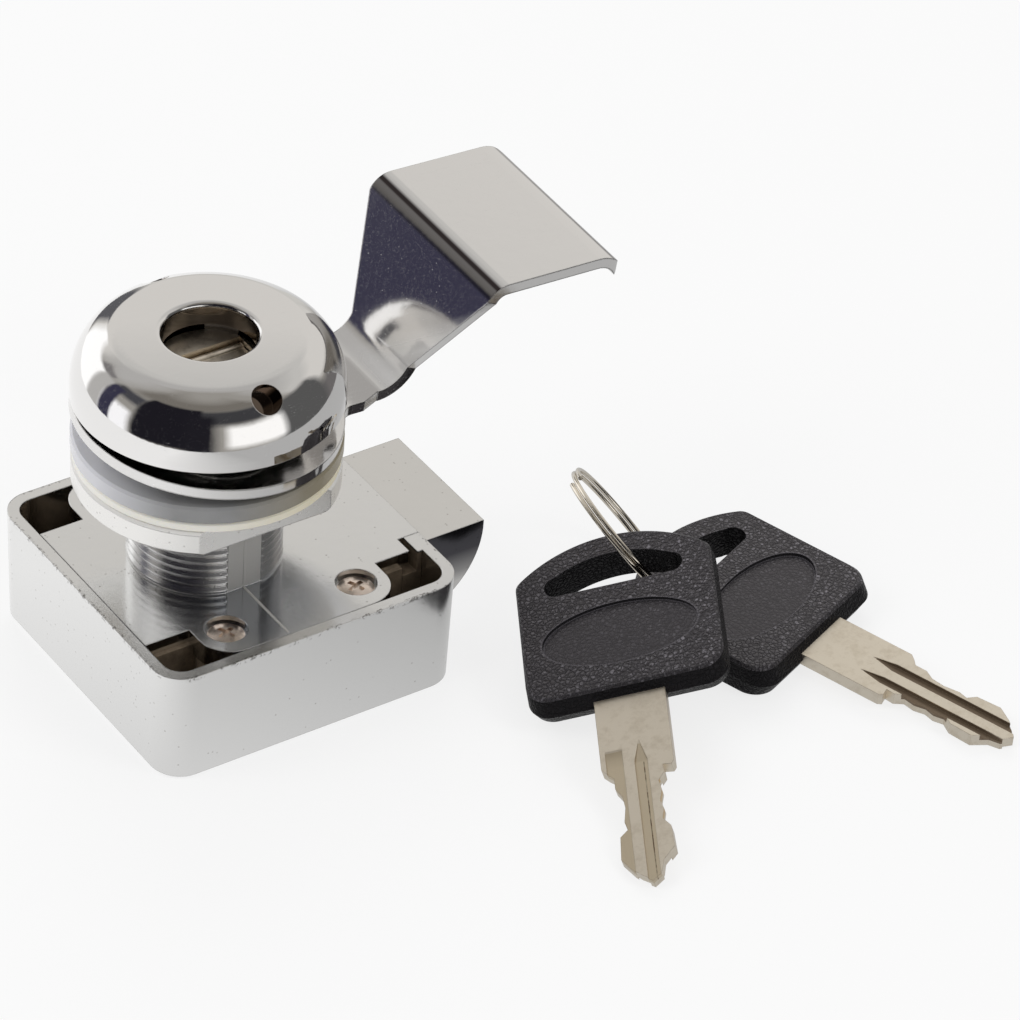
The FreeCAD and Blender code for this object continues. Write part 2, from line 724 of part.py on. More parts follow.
def pull_plate():
    wire, up = pull_profile()
    bent = Part.Face(wire).extrude(Vector(0, 2 * pull_tab_half, 0))
    bent.translate(Vector(0, -pull_tab_half, 0))
    slope = math.radians(pull_slope)
    along = Vector(math.cos(slope), 0, math.sin(slope))
    normal = Vector(-math.sin(slope), 0, math.cos(slope))
    base = up[2]
    length = (up[3] - up[2]).Length
    end = up[-1].x
    plan = rounded_rectangle(0, 0, end, pull_tab_half, pull_tab_corner, -2 * sheet)
    bent = bent.common(Part.Face(plan).extrude(Vector(0, 0, pull_tab_rise + 4 * sheet)))
    for s in (-1, 1):
        points = [(-9, pull_bend_half), (0, pull_bend_half + 0.15), (length, pull_tab_half),
                  (length, pull_tab_half + 3), (-9, pull_tab_half + 3)]
        corners = [base + along * u + Vector(0, s * v, 0) - normal * 9 for u, v in points]
        face = Part.Face(Part.makePolygon(corners + [corners[0]]))
        bent = bent.cut(face.extrude(normal * 18))
    neck_end = up[0].x
    flat = cylinder(pull_ring_radius, -sheet, 0)
    straight = pull_ring_radius + pull_neck_straight
    neck = slab([
        (0, -pull_neck_half), (straight, -pull_neck_half), (neck_end, -pull_bend_half),
        (neck_end, pull_bend_half), (straight, pull_neck_half), (0, pull_neck_half)], -sheet, 0)
    flat = flat.fuse(neck)
    join_x = math.sqrt(pull_ring_radius ** 2 - pull_neck_half ** 2)
    joins = []
    for e in flat.Edges:
        a, b = e.Vertexes[0].Point, e.Vertexes[-1].Point
        upright = abs(a.z - b.z) > sheet * 0.9
        if upright and abs(a.x - join_x) < 0.01 and abs(abs(a.y) - pull_neck_half) < 0.01:
            joins.append(e)
    flat = flat.makeFillet(pull_neck_fillet, joins)
    plate = flat.fuse(bent).cut(cylinder(pull_hole_radius, -sheet - 1, 1))
    plate = plate.removeSplitter()
    turn = Rotation(Vector(0, 0, 1), pull_yaw)
    turn = turn.multiply(Rotation(Vector(0, 1, 0), pull_tilt_y))
    turn = turn.multiply(Rotation(Vector(1, 0, 0), pull_tilt_x))
    plate.Placement = Placement(Vector(0, 0, pull_height), turn)
    return plate


def dome_cap():
    roof = dome_top - dome_roof
    rise = dome_top - dome_shoulder_z
    reach = dome_radius - dome_flat_radius
    lip = dome_lip_radius
    edges = []

    def v(r, z):
        return Vector(r, 0, z)

    def line(a, b):
        edges.append(Part.makeLine(a, b))

    rim = dome_rim_chamfer
    line(v(barrel_radius + thread_fit, dome_bottom), v(dome_radius - rim, dome_bottom))
    line(v(dome_radius - rim, dome_bottom), v(dome_radius, dome_bottom + rim))
    line(v(dome_radius, dome_bottom + rim), v(dome_radius, dome_shoulder_z))
    count = 6
    shoulder = []
    for i in range(count + 1):
        t = math.pi / 2 * i / count
        shoulder.append(v(dome_flat_radius + reach * math.cos(t), dome_shoulder_z + rise * math.sin(t)))
    curve = Part.BSplineCurve()
    curve.interpolate(shoulder, InitialTangent=Vector(0, 0, 1), FinalTangent=Vector(-1, 0, 0))
    edges.append(curve.toShape())
    line(shoulder[-1], v(dome_hole_radius + lip, dome_top))
    bend = lip * (1 - math.sqrt(0.5))
    edges.append(Part.Arc(
        v(dome_hole_radius + lip, dome_top), v(dome_hole_radius + bend, dome_top - bend),
        v(dome_hole_radius, dome_top - lip)).toShape())
    line(v(dome_hole_radius, dome_top - lip), v(dome_hole_radius, roof))
    line(v(dome_hole_radius, roof), v(barrel_radius + thread_fit, roof))
    line(v(barrel_radius + thread_fit, roof), v(barrel_radius + thread_fit, dome_bottom))
    dome = Part.Face(Part.Wire(edges)).revolve(Vector(0, 0, 0), Vector(0, 0, 1), 360)
    tilt = math.radians(spanner_hole_tilt)
    for s in (-1, 1):
        out = Vector(0, s * math.sin(tilt), math.cos(tilt))
        around = math.acos((spanner_hole_reach - dome_flat_radius) / reach)
        mouth = Vector(0, s * spanner_hole_reach, dome_shoulder_z + rise * math.sin(around))
        dome = dome.cut(Part.makeCylinder(
            spanner_hole_radius, 2 * spanner_hole_depth, mouth - out * spanner_hole_depth, out))
    dome.rotate(Vector(0, 0, 0), Vector(0, 0, 1), spanner_hole_turn)
    return dome


def head_outline(inset, low, z):
    """Outline of a key head in its own frame, blade below and slot above."""
    w = head_half_width - inset
    side = head_side
    apex = head_apex - inset
    rise = apex - side
    bow = (w * w + rise * rise) / (2 * rise)
    bow_centre = Vector(0, apex - bow, z)
    lc = head_low_corner
    hc = head_high_corner
    k = lc * (1 - math.sqrt(0.5))
    corner_y = bow_centre.y + math.sqrt((bow - hc) ** 2 - (w - hc) ** 2)

    def upper_corner(s):
        centre = Vector(s * (w - hc), corner_y, z)
        out = (centre - bow_centre).normalize()
        beside = Vector(s, 0, 0)
        return centre + beside * hc, centre + (beside + out).normalize() * hc, bow_centre + out * bow

    r0, r1, r2 = upper_corner(1)
    l0, l1, l2 = upper_corner(-1)
    return Part.Wire([
        Part.makeLine(Vector(-w + lc, low, z), Vector(w - lc, low, z)),
        Part.Arc(Vector(w - lc, low, z), Vector(w - k, low + k, z), Vector(w, low + lc, z)).toShape(),
        Part.makeLine(Vector(w, low + lc, z), r0),
        Part.Arc(r0, r1, r2).toShape(),
        Part.Arc(r2, Vector(0, apex, z), l2).toShape(),
        Part.Arc(l2, l1, l0).toShape(),
        Part.makeLine(l0, Vector(-w, low + lc, z)),
        Part.Arc(Vector(-w, low + lc, z), Vector(-w + k, low + k, z), Vector(-w + lc, low, z)).toShape(),
    ])


def slot_outline(z):
    """Arched finger and ring slot: straight below, bowed above, round at both ends."""
    h = head_slot_half
    low = head_slot_low
    side = head_slot_side
    end = head_slot_end
    a = Vector(-h + end, low, z)
    b = Vector(h - end, low, z)
    c = Vector(h - end, side, z)
    d = Vector(-h + end, side, z)
    return Part.Wire([
        Part.makeLine(a, b),
        Part.Arc(b, Vector(h, (low + side) / 2, z), c).toShape(),
        Part.Arc(c, Vector(0, head_slot_high, z), d).toShape(),
        Part.Arc(d, Vector(-h, (low + side) / 2, z), a).toShape(),
    ])


def key_head():
    half = head_thickness / 2
    rim = head_rim
    side = head_side_draft
    low = head_low_draft
    levels = (
        (side + rim, low + rim, -half), (side, low, -half + rim), (0, 0, 0),
        (side, low, half - rim), (side + rim, low + rim, half),
    )
    head = Part.makeLoft([head_outline(*level) for level in levels], True, True)
    head = head.cut(Part.Face(slot_outline(-half - 1)).extrude(Vector(0, 0, head_thickness + 2)))
    oval = Part.Ellipse(Vector(0, head_oval_y, half - head_oval_depth), head_oval_length, head_oval_width)
    well = Part.Face(Part.Wire([oval.toShape()])).extrude(Vector(0, 0, 2))
    head = head.cut(well)
    t = blade_thickness / 2
    return head.cut(box(-blade_half_width, blade_half_width, -1, blade_root, -t, t))


def key_blade():
    """Nickel-silver blade with the bitting cut on both edges."""
    w = blade_half_width
    # Corners along each edge as shares of the half width and of the blade's length
    right = [(1, 0.3921), (0.921, 0.4101), (0.679, 0.4029), (0.701, 0.446), (0.52, 0.4856),
             (0.577, 0.5396), (0.498, 0.5935), (0.577, 0.6403), (0.509, 0.6906), (0.713, 0.7374),
             (0.747, 0.8489), (0.407, 0.9101), (0.339, 0.964), (0.045, 1)]
    left = [(-0.249, 0.964), (-0.452, 0.9281), (-0.747, 0.8561), (-0.701, 0.7374), (-0.475, 0.705),
            (-0.543, 0.6619), (-0.475, 0.5863), (-0.52, 0.5216), (-0.69, 0.4748), (-0.69, 0.4173),
            (-0.842, 0.3957), (-1, 0.3669)]
    cuts = [(w * x, -blade_length * y) for x, y in right + left]
    outline = [(-w, blade_root), (w, blade_root)] + cuts
    t = blade_thickness / 2
    blade = slab(outline, -t, t)
    full = blade_point_start + blade_point_length
    for side, x0, width, deep in ((1, blade_front_groove, blade_front_groove_width, blade_front_depth),
                                  (-1, blade_rear_groove_1, blade_rear_groove_1_width, blade_rear_depth),
                                  (-1, blade_rear_groove_2, blade_rear_groove_2_width, blade_rear_depth)):
        x1 = x0 + width
        z0, z1 = sorted((side * (t - deep), side * (t + 1)))
        corners = [Vector(x, -full, z) for x, z in ((x0, z0), (x1, z0), (x1, z1), (x0, z1), (x0, z0))]
        apex = Part.Vertex(x0 + width / 2, -blade_point_start, side * t)
        point = Part.makeLoft([Part.makePolygon(corners), apex], True, True)
        blade = blade.cut([point, box(x0, x1, -blade_length - 1, -full, z0, z1)])
    # The wide shallow step on the front starts square, where the milling wheel came out
    deep = blade_front_depth
    mill = blade_mill_radius
    end = blade_step_start + math.sqrt(2 * mill * deep)
    hub = Vector(blade_step_outer, -end, t + mill - deep)
    wheel = Part.makeCylinder(mill, blade_step_inner - blade_step_outer, hub, Vector(1, 0, 0))
    floor = box(blade_step_outer, blade_step_inner, -blade_length - 1, -end, t - deep, t + 1)
    blade = blade.cut([wheel, floor])
    return blade


def lie(shape, place, turn):
    """Puts a key where it lies: turned about Z, raised at its head, then rolled about its own length."""
    yaw, pitch, roll = turn
    rotation = Rotation(Vector(0, 0, 1), yaw)
    rotation = rotation.multiply(Rotation(Vector(1, 0, 0), pitch)).multiply(Rotation(Vector(0, 1, 0), roll))
    shape = shape.copy()
    shape.Placement = Placement(Vector(*place), rotation)
    return shape


def arc_leaving(start, direction, end):
    """Arc from start to end that sets off in the given direction."""
    chord = end - start
    half = chord.Length / 2
    cosine = direction.dot(chord) / chord.Length
    across = (direction - chord * (cosine / chord.Length)).normalize()
    sagitta = half * math.tan(math.acos(cosine) / 2)
    return Part.Arc(start, start + chord * 0.5 + across * sagitta, end).toShape()


def biarc(p, u, q, v):
    """Two arcs that join p to q, leaving along u and arriving along v."""
    gap = q - p
    both = u + v
    spread = 2 * (1 - u.dot(v))
    reach = (math.sqrt(gap.dot(both) ** 2 + spread * gap.dot(gap)) - gap.dot(both)) / spread
    joint = (p + u * reach + q - v * reach) * 0.5
    first = arc_leaving(p, u, joint)
    second = arc_leaving(q, v * -1, joint)
    return first, second


def key_ring():
    """Split ring: one wire wound twice round, its two turns lying side by side."""
    half_rise = ring_pitch * ring_quarters / 8
    rise = ring_pitch / (2 * math.pi)

    def on_helix(quarter):
        a = math.radians(ring_start_angle) + quarter * math.pi / 2
        height = ring_pitch * quarter / 4 - half_rise
        at = Vector(ring_radius * math.cos(a), ring_radius * math.sin(a), height)
        way = Vector(-ring_radius * math.sin(a), ring_radius * math.cos(a), rise).normalize()
        return at, way

    edges = []
    for quarter in range(ring_quarters):
        p, u = on_helix(quarter)
        q, v = on_helix(quarter + 1)
        edges.extend(biarc(p, u, q, v))
    start, way = on_helix(0)
    section = Part.Wire([Part.Circle(start, way, ring_wire_radius).toShape()])
    coil = Part.Wire(Part.__sortEdges__(edges)).makePipeShell([section], True, False)
    coil.Placement = Placement(Vector(*ring_centre), Rotation(Vector(0, 0, 1), Vector(*ring_normal)))
    return coil


export(case_tray(), "case_tray")
export(cover_plate(), "cover_plate")
export(cover_screws(), "cover_screws")
export(latch_bolt(), "latch_bolt")
export(bolt_springs(), "bolt_springs")
export(drive_cam(), "drive_cam")
export(cam_washer(), "cam_washer")
export(cam_screw(), "cam_screw")
export(lock_plug(), "lock_plug")
export(wafer_tumblers(), "wafer_tumblers")
export(wafer_springs(), "wafer_springs")
export(dust_shutter(), "dust_shutter")
export(shutter_pin(), "shutter_pin")
export(clamp_nut(), "clamp_nut")
export(thin_washer(), "thin_washer")
export(thick_washer(), "thick_washer")
export(pull_plate(), "pull_plate")
export(dome_cap(), "dome_cap")
head = key_head()
blade = key_blade()
export(lie(head, key_1_place, key_1_turn), "key_1_head")
export(lie(blade, key_1_place, key_1_turn), "key_1_blade")
export(lie(head, key_2_place, key_2_turn), "key_2_head")
# The second blade sits in its head the other way up
yaw, pitch, roll = key_2_turn
export(lie(blade, key_2_place, (yaw, pitch, roll + 180)), "key_2_blade")
export(key_ring(), "key_ring")
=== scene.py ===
import math

import bmesh
import bpy
from mathutils import Matrix, Vector


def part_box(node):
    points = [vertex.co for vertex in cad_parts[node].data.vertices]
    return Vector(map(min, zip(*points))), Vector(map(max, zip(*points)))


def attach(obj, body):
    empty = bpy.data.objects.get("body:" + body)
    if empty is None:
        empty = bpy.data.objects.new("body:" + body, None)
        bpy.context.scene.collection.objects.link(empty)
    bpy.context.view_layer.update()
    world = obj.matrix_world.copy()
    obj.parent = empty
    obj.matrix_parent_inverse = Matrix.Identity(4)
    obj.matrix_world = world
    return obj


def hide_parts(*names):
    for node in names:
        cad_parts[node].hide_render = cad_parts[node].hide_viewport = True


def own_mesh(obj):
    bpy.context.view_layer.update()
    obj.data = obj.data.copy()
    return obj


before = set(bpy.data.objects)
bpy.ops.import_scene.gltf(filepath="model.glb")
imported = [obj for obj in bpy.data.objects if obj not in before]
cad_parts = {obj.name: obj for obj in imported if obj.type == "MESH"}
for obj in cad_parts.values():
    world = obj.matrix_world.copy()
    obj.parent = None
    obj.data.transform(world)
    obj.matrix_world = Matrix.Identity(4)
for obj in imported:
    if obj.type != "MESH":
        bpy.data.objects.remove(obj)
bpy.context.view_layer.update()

bl_info = {
    "name": "Slam cam lock with keys",
    "version": (1, 0, 0),
    "blender": (4, 5, 0),
    "location": "3D View > Sidebar > Slam lock",
    "description": "Finishes, springs, seam and studio for a slam cam lock and its two keys",
    "category": "Object",
}

MM = 0.001
FLOOR_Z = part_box("case_tray")[0].z


# Settings that a user would change

class SlamLockFinish(bpy.types.PropertyGroup):
    """Colours and sizes of the lock's finishes."""
    casting_colour: bpy.props.FloatVectorProperty(
        name="Casting", description="Nickel plating of the case and the cover plate",
        subtype="COLOR", size=3, min=0.0, max=1.0, default=(0.77, 0.768, 0.76))
    casting_gloss: bpy.props.FloatProperty(
        name="Casting roughness", description="Roughness of the plated castings",
        subtype="FACTOR", min=0.0, max=1.0, default=0.17)
    bolt_colour: bpy.props.FloatVectorProperty(
        name="Bolt", description="Nickel plating of the latch bolt",
        subtype="COLOR", size=3, min=0.0, max=1.0, default=(0.72, 0.71, 0.69))
    pocket_colour: bpy.props.FloatVectorProperty(
        name="Pockets", description="Unpolished inside of the case",
        subtype="COLOR", size=3, min=0.0, max=1.0, default=(0.26, 0.20, 0.14))
    chrome_colour: bpy.props.FloatVectorProperty(
        name="Chrome", description="Polished chrome of the dome cap and the pull plate",
        subtype="COLOR", size=3, min=0.0, max=1.0, default=(0.80, 0.79, 0.78))
    plug_colour: bpy.props.FloatVectorProperty(
        name="Plug", description="Warm nickel of the plug's face and the dust shutter",
        subtype="COLOR", size=3, min=0.0, max=1.0, default=(0.86, 0.78, 0.66))
    nut_colour: bpy.props.FloatVectorProperty(
        name="Nut", description="Bright plating of the clamp nut",
        subtype="COLOR", size=3, min=0.0, max=1.0, default=(0.82, 0.81, 0.79))
    thin_washer_colour: bpy.props.FloatVectorProperty(
        name="Thin washer", description="Cream plastic of the thin washer",
        subtype="COLOR", size=3, min=0.0, max=1.0, default=(0.86, 0.84, 0.78))
    thin_washer_warm: bpy.props.FloatVectorProperty(
        name="Thin washer, warm side", description="Warmer side of the thin washer",
        subtype="COLOR", size=3, min=0.0, max=1.0, default=(0.72, 0.64, 0.42))
    thick_washer_colour: bpy.props.FloatVectorProperty(
        name="Thick washer", description="Cloudy plastic of the thick washer, on its cool side",
        subtype="COLOR", size=3, min=0.0, max=1.0, default=(0.66, 0.66, 0.70))
    thick_washer_shade: bpy.props.FloatVectorProperty(
        name="Thick washer, front", description="Greyer front of the thick washer",
        subtype="COLOR", size=3, min=0.0, max=1.0, default=(0.22, 0.22, 0.22))
    thick_washer_glow: bpy.props.FloatVectorProperty(
        name="Thick washer, warm side", description="Painted warm glow of light through the thick washer",
        subtype="COLOR", size=3, min=0.0, max=1.0, default=(0.21, 0.17, 0.085))
    screw_colour: bpy.props.FloatVectorProperty(
        name="Screws", description="Brownish plating of the screws",
        subtype="COLOR", size=3, min=0.0, max=1.0, default=(0.92, 0.79, 0.69))
    spring_colour: bpy.props.FloatVectorProperty(
        name="Spring steel", description="Bright steel of the springs and the shutter's pin",
        subtype="COLOR", size=3, min=0.0, max=1.0, default=(0.74, 0.73, 0.70))
    ring_colour: bpy.props.FloatVectorProperty(
        name="Split ring", description="Warm nickel of the split ring",
        subtype="COLOR", size=3, min=0.0, max=1.0, default=(0.80, 0.74, 0.64))
    wafer_colour: bpy.props.FloatVectorProperty(
        name="Wafers", description="Stamped brass of the wafers",
        subtype="COLOR", size=3, min=0.0, max=1.0, default=(0.62, 0.45, 0.18))
    cam_colour: bpy.props.FloatVectorProperty(
        name="Cam", description="Plated steel of the drive cam",
        subtype="COLOR", size=3, min=0.0, max=1.0, default=(0.55, 0.54, 0.52))
    head_colour: bpy.props.FloatVectorProperty(
        name="Key heads", description="Black plastic of the key heads",
        subtype="COLOR", size=3, min=0.0, max=1.0, default=(0.028, 0.026, 0.029))
    grain_size: bpy.props.FloatProperty(
        name="Grain", description="Size of one cell of the key heads' leather grain",
        subtype="DISTANCE", unit="LENGTH", min=0.0001, max=0.002, default=0.00058)
    blade_colour: bpy.props.FloatVectorProperty(
        name="Key blades", description="Nickel plating of the key blades",
        subtype="COLOR", size=3, min=0.0, max=1.0, default=(0.90, 0.82, 0.69))
    cut_colour: bpy.props.FloatVectorProperty(
        name="Key cuts", description="Brass bared at the cuts",
        subtype="COLOR", size=3, min=0.0, max=1.0, default=(0.78, 0.55, 0.26))


class SlamLockDetail(bpy.types.PropertyGroup):
    """Sizes of the pieces that are added to the solid model."""
    seam_width: bpy.props.FloatProperty(
        name="Seam width", description="Width of the mould seam on the plate and the barrel's flat",
        subtype="DISTANCE", unit="LENGTH", min=0.0001, max=0.001, default=0.00034)
    seam_height: bpy.props.FloatProperty(
        name="Seam height", description="How far the mould seam stands proud",
        subtype="DISTANCE", unit="LENGTH", min=0.00002, max=0.0003, default=0.00006)
    strip_width: bpy.props.FloatProperty(
        name="Strip width", description="Width of the plain strip that the mould leaves on the barrel's flat",
        subtype="DISTANCE", unit="LENGTH", min=0.001, max=0.005, default=0.0046)
    spring_wire: bpy.props.FloatProperty(
        name="Spring wire", description="Wire diameter of the bolt springs",
        subtype="DISTANCE", unit="LENGTH", min=0.0002, max=0.001, default=0.0005)
    spring_turns: bpy.props.IntProperty(
        name="Spring turns", description="Turns of each bolt spring", min=4, max=24, default=11)


class SlamLockStudio(bpy.types.PropertyGroup):
    """Camera and light, as in the photograph."""
    camera_distance: bpy.props.FloatProperty(
        name="Distance", description="Camera distance", subtype="DISTANCE", unit="LENGTH", default=0.7)
    camera_azimuth: bpy.props.FloatProperty(
        name="Azimuth", description="Camera direction round the lock", subtype="ANGLE", default=math.radians(-35.79))
    camera_elevation: bpy.props.FloatProperty(
        name="Elevation", description="Camera height angle", subtype="ANGLE", default=math.radians(36.954))
    camera_roll: bpy.props.FloatProperty(
        name="Roll", description="Camera roll", subtype="ANGLE", default=math.radians(3.73))
    camera_offset: bpy.props.FloatVectorProperty(
        name="Offset", description="Sideways and upward shift of the view",
        subtype="XYZ_LENGTH", size=2, default=(-0.037026, -0.00444))
    camera_lens: bpy.props.FloatProperty(
        name="Lens", description="Focal length in millimetres for a 36 mm frame", default=203.93)
    floor_colour: bpy.props.FloatVectorProperty(
        name="Floor", description="Pale floor", subtype="COLOR", size=3, default=(0.86, 0.86, 0.86))
    floor_reach: bpy.props.FloatProperty(
        name="Floor reach", description="Radius of the floor", subtype="DISTANCE", unit="LENGTH", default=1.4)
    table_reach: bpy.props.FloatProperty(
        name="Table reach", description="Radius of the pale table that metal mirrors",
        subtype="DISTANCE", unit="LENGTH", default=0.205)
    table_middle: bpy.props.FloatVectorProperty(
        name="Table middle", description="Middle of the pale table that metal mirrors",
        subtype="XYZ_LENGTH", size=2, default=(0.03, 0.042))
    table_glow: bpy.props.FloatProperty(
        name="Table glow", description="Brightness of the table in what the metal mirrors", min=0.0, default=0.80)
    tent_radius: bpy.props.FloatProperty(
        name="Tent radius", description="Radius of the mirrored room", subtype="DISTANCE", unit="LENGTH", default=0.8)
    tent_colour: bpy.props.FloatVectorProperty(
        name="Tent", description="Colour of the mirrored room away from its cards",
        subtype="COLOR", size=3, default=(0.36, 0.345, 0.32))
    ambient: bpy.props.FloatProperty(
        name="Ambient", description="Strength of the even light from all sides", min=0.0, default=0.55)
    lamp_level: bpy.props.FloatProperty(
        name="Lamps", description="Share of the lamps' full power", min=0.0, default=1.0)


# Places on the solid model, in millimetres

UP = Vector((0, 0, 1))
CASE_MIDDLE = Vector((3.3, -0.5, -7.3))
CASE_INSIDE = Vector((19.35, 19.15, 7.0))
CASE_RIM = CASE_INSIDE + Vector((1.22, 1.22, 7.0))
BARREL_ROOTS = (8.95, 9.3)
BARREL_CRESTS = (9.6, 9.8)
FLAT_Y = -9.12
KEYHOLE_TOP = 31.3
KEYHOLE_RADIUS = 5.9
SPANNER_PLACE = Vector((0, 13.75, 30.96))
SPANNER_RADIUS = 1.93
SPANNER_TILT = math.radians(40)
SPANNER_TURN = Matrix.Rotation(math.radians(-2), 3, "Z")
WELL_HALF = (9.7, 4.7)
WELL_MIDDLE = 9.2
GROOVES_1 = ((-3.77, -1.7, 0.76), (-0.3, 1.25, 0.76))
GROOVES_2 = ((0.25, 1.65, 0.74), (-2.55, -1.35, 0.74))

# The pull plate: directions that its fan and tab face, the way down the fan, where the fan's foot starts and ends
# along that way, and the small turn of the sheet that moves what it mirrors
FAN = Vector((-0.90, -0.05, 0.43))
TAB = Vector((0.08, -0.06, 0.99))
DOWN_FAN = Vector((-0.30, -0.67, -0.68))
FOOT_RANGE = (-22.861, -19.861)
LEAN = Vector((-0.022, 0.052, -0.047))

# Colours of wear and tarnish, and of painted shade, reflections and highlights

PIT_SHADE = (0.30, 0.28, 0.25)
FOOT_REFLECTION_SHADE = (0.42, 0.44, 0.48)
THREAD_ROOT_SHADE = (0.34, 0.31, 0.30)
RIM_DARK_SPECKS = (0.10, 0.09, 0.08)
BOLT_SIDE_SHADE = (0.045, 0.044, 0.055)
KEYHOLE_SHADE = (0.36, 0.32, 0.28)
SPANNER_SHADE = (0.24, 0.19, 0.155)
CREASE_SHADE = (0.055, 0.045, 0.045)
PLATE_EDGE_SHADE = (0.03, 0.028, 0.025)
PLUG_TARNISH = (0.22, 0.18, 0.13)
THICK_CLOUD = (0.70, 0.71, 0.72)
THIN_CLOUD = (0.88, 0.86, 0.78)
GRAIN_CREASE_SHADE = (0.006, 0.006, 0.007)
GRAIN_GLINT = (0.21, 0.20, 0.22)
HEAD_EDGE_HIGHLIGHT = (0.075, 0.071, 0.078)
HEAD_SIDE_SHADE = (0.005, 0.0048, 0.0052)
WELL_RIM_HIGHLIGHT = (0.085, 0.080, 0.090)
BLADE_TARNISH = (0.55, 0.46, 0.33)
BLADE_LINE = (0.16, 0.11, 0.07)
BLADE_EDGE = (0.42, 0.33, 0.22)
GROOVE_SHADE_1 = (0.74, 0.64, 0.48)
GROOVE_SHADE_2 = (0.19, 0.14, 0.095)


# Node helpers

def feed(tree, target, value):
    """Links a socket to the target, or sets the target to a plain value."""
    if isinstance(value, bpy.types.NodeSocket):
        tree.links.new(value, target)
    else:
        target.default_value = value


def put(tree, kind, values=None, **settings):
    """A shader node with its settings, and its inputs fed by sockets or plain values."""
    made = tree.nodes.new("ShaderNode" + kind)
    for name, value in settings.items():
        setattr(made, name, value)
    for name, value in (values or {}).items():
        feed(tree, made.inputs[name], value)
    return made


def maths(tree, operation, *values, clamp=False):
    """What a Math node gives for sockets or plain numbers."""
    return put(tree, "Math", dict(enumerate(values)), operation=operation, use_clamp=clamp).outputs[0]


def vectors(tree, operation, *values):
    """What a Vector Math node gives: a value for a dot product or a length, else a vector."""
    made = put(tree, "VectorMath", dict(enumerate(values)), operation=operation)
    return made.outputs["Value" if operation in ("DOT_PRODUCT", "LENGTH") else "Vector"]


def scaled(tree, vector, factor):
    """The vector times a factor, which is a socket or a number."""
    return put(tree, "VectorMath", {0: vector, "Scale": factor}, operation="SCALE").outputs[0]


def parted(tree, vector):
    """The three values of a vector."""
    return put(tree, "SeparateXYZ", {0: vector}).outputs


def noise(tree, place, scale, detail, roughness=0.5):
    """Smooth noise from about nought to one."""
    values = {"Vector": place, "Scale": scale, "Detail": detail, "Roughness": roughness}
    return put(tree, "TexNoise", values).outputs["Fac"]


def steps(tree, source, *stops):
    """A ramp over a value; stops are (position, grey), and the ends run on."""
    made = put(tree, "ValToRGB", {0: source})
    ramp = made.color_ramp
    while len(ramp.elements) < len(stops):
        ramp.elements.new(0.5)
    for element, (position, grey) in zip(ramp.elements, stops):
        element.position = position
        element.color = (grey, grey, grey, 1.0)
    return made.outputs[0]


def dots(tree, place, scale, channel, share, *stops):
    """A dot in the middle of some cells, shaped by its stops; the share says how many cells have one."""
    cells = put(tree, "TexVoronoi", {"Vector": place, "Scale": scale, "Randomness": 1.0}).outputs
    drawn = put(tree, "SeparateColor", {0: cells["Color"]}).outputs[channel]
    near = steps(tree, cells["Distance"], *stops)
    return maths(tree, "MULTIPLY", near, maths(tree, "LESS_THAN", drawn, share))


def blend_colours(tree, share, first, second):
    """Mixes two colours, each a socket or a plain colour, by a share."""
    made = put(tree, "Mix", {0: share}, data_type="RGBA")
    for name, value in (("A", first), ("B", second)):
        socket = [s for s in made.inputs if s.name == name and s.type == "RGBA"][0]
        feed(tree, socket, value if isinstance(value, bpy.types.NodeSocket) else (*value, 1.0))
    return [s for s in made.outputs if s.type == "RGBA"][0]


def new_group(name, outputs, **inputs):
    """An empty node group, what it is given and its end. An input of None is a vector, else it is a value."""
    tree = bpy.data.node_groups.new(name, "ShaderNodeTree")
    for label, default in inputs.items():
        kind = "NodeSocketVector" if default is None else "NodeSocketFloat"
        socket = tree.interface.new_socket(name=label.replace("_", " "), in_out="INPUT", socket_type=kind)
        if default is not None:
            socket.default_value = default
    for label in outputs:
        tree.interface.new_socket(name=label, in_out="OUTPUT", socket_type="NodeSocketFloat")
    return tree, tree.nodes.new("NodeGroupInput").outputs, tree.nodes.new("NodeGroupOutput").inputs


def close_group(tree, end, *sources):
    """Links the group's results to its end, in the order of its outputs."""
    for source, target in zip(sources, end):
        tree.links.new(source, target)
    return tree


# Effects shared by several finishes. Places are in millimetres

def build_casting_skin():
    """Fine skin of a plated casting: shallow waves, small pits and slow clouds."""
    outputs = ("Height", "Pits", "Cloud")
    tree, given, end = new_group("casting_skin", outputs, Place=None, Pits_per_mm=1.6, Pit_share=0.3)
    waves = noise(tree, given["Place"], 0.55, 3.0, 0.55)
    cloud = noise(tree, given["Place"], 0.16, 4.0, 0.6)
    spread = scaled(tree, given["Place"], given["Pits per mm"])
    pits = dots(tree, spread, 1.0, 0, given["Pit share"], (0.0, 1.0), (0.16, 0.7), (0.24, 0.0))
    return close_group(tree, end, maths(tree, "SUBTRACT", waves, pits), pits, cloud)


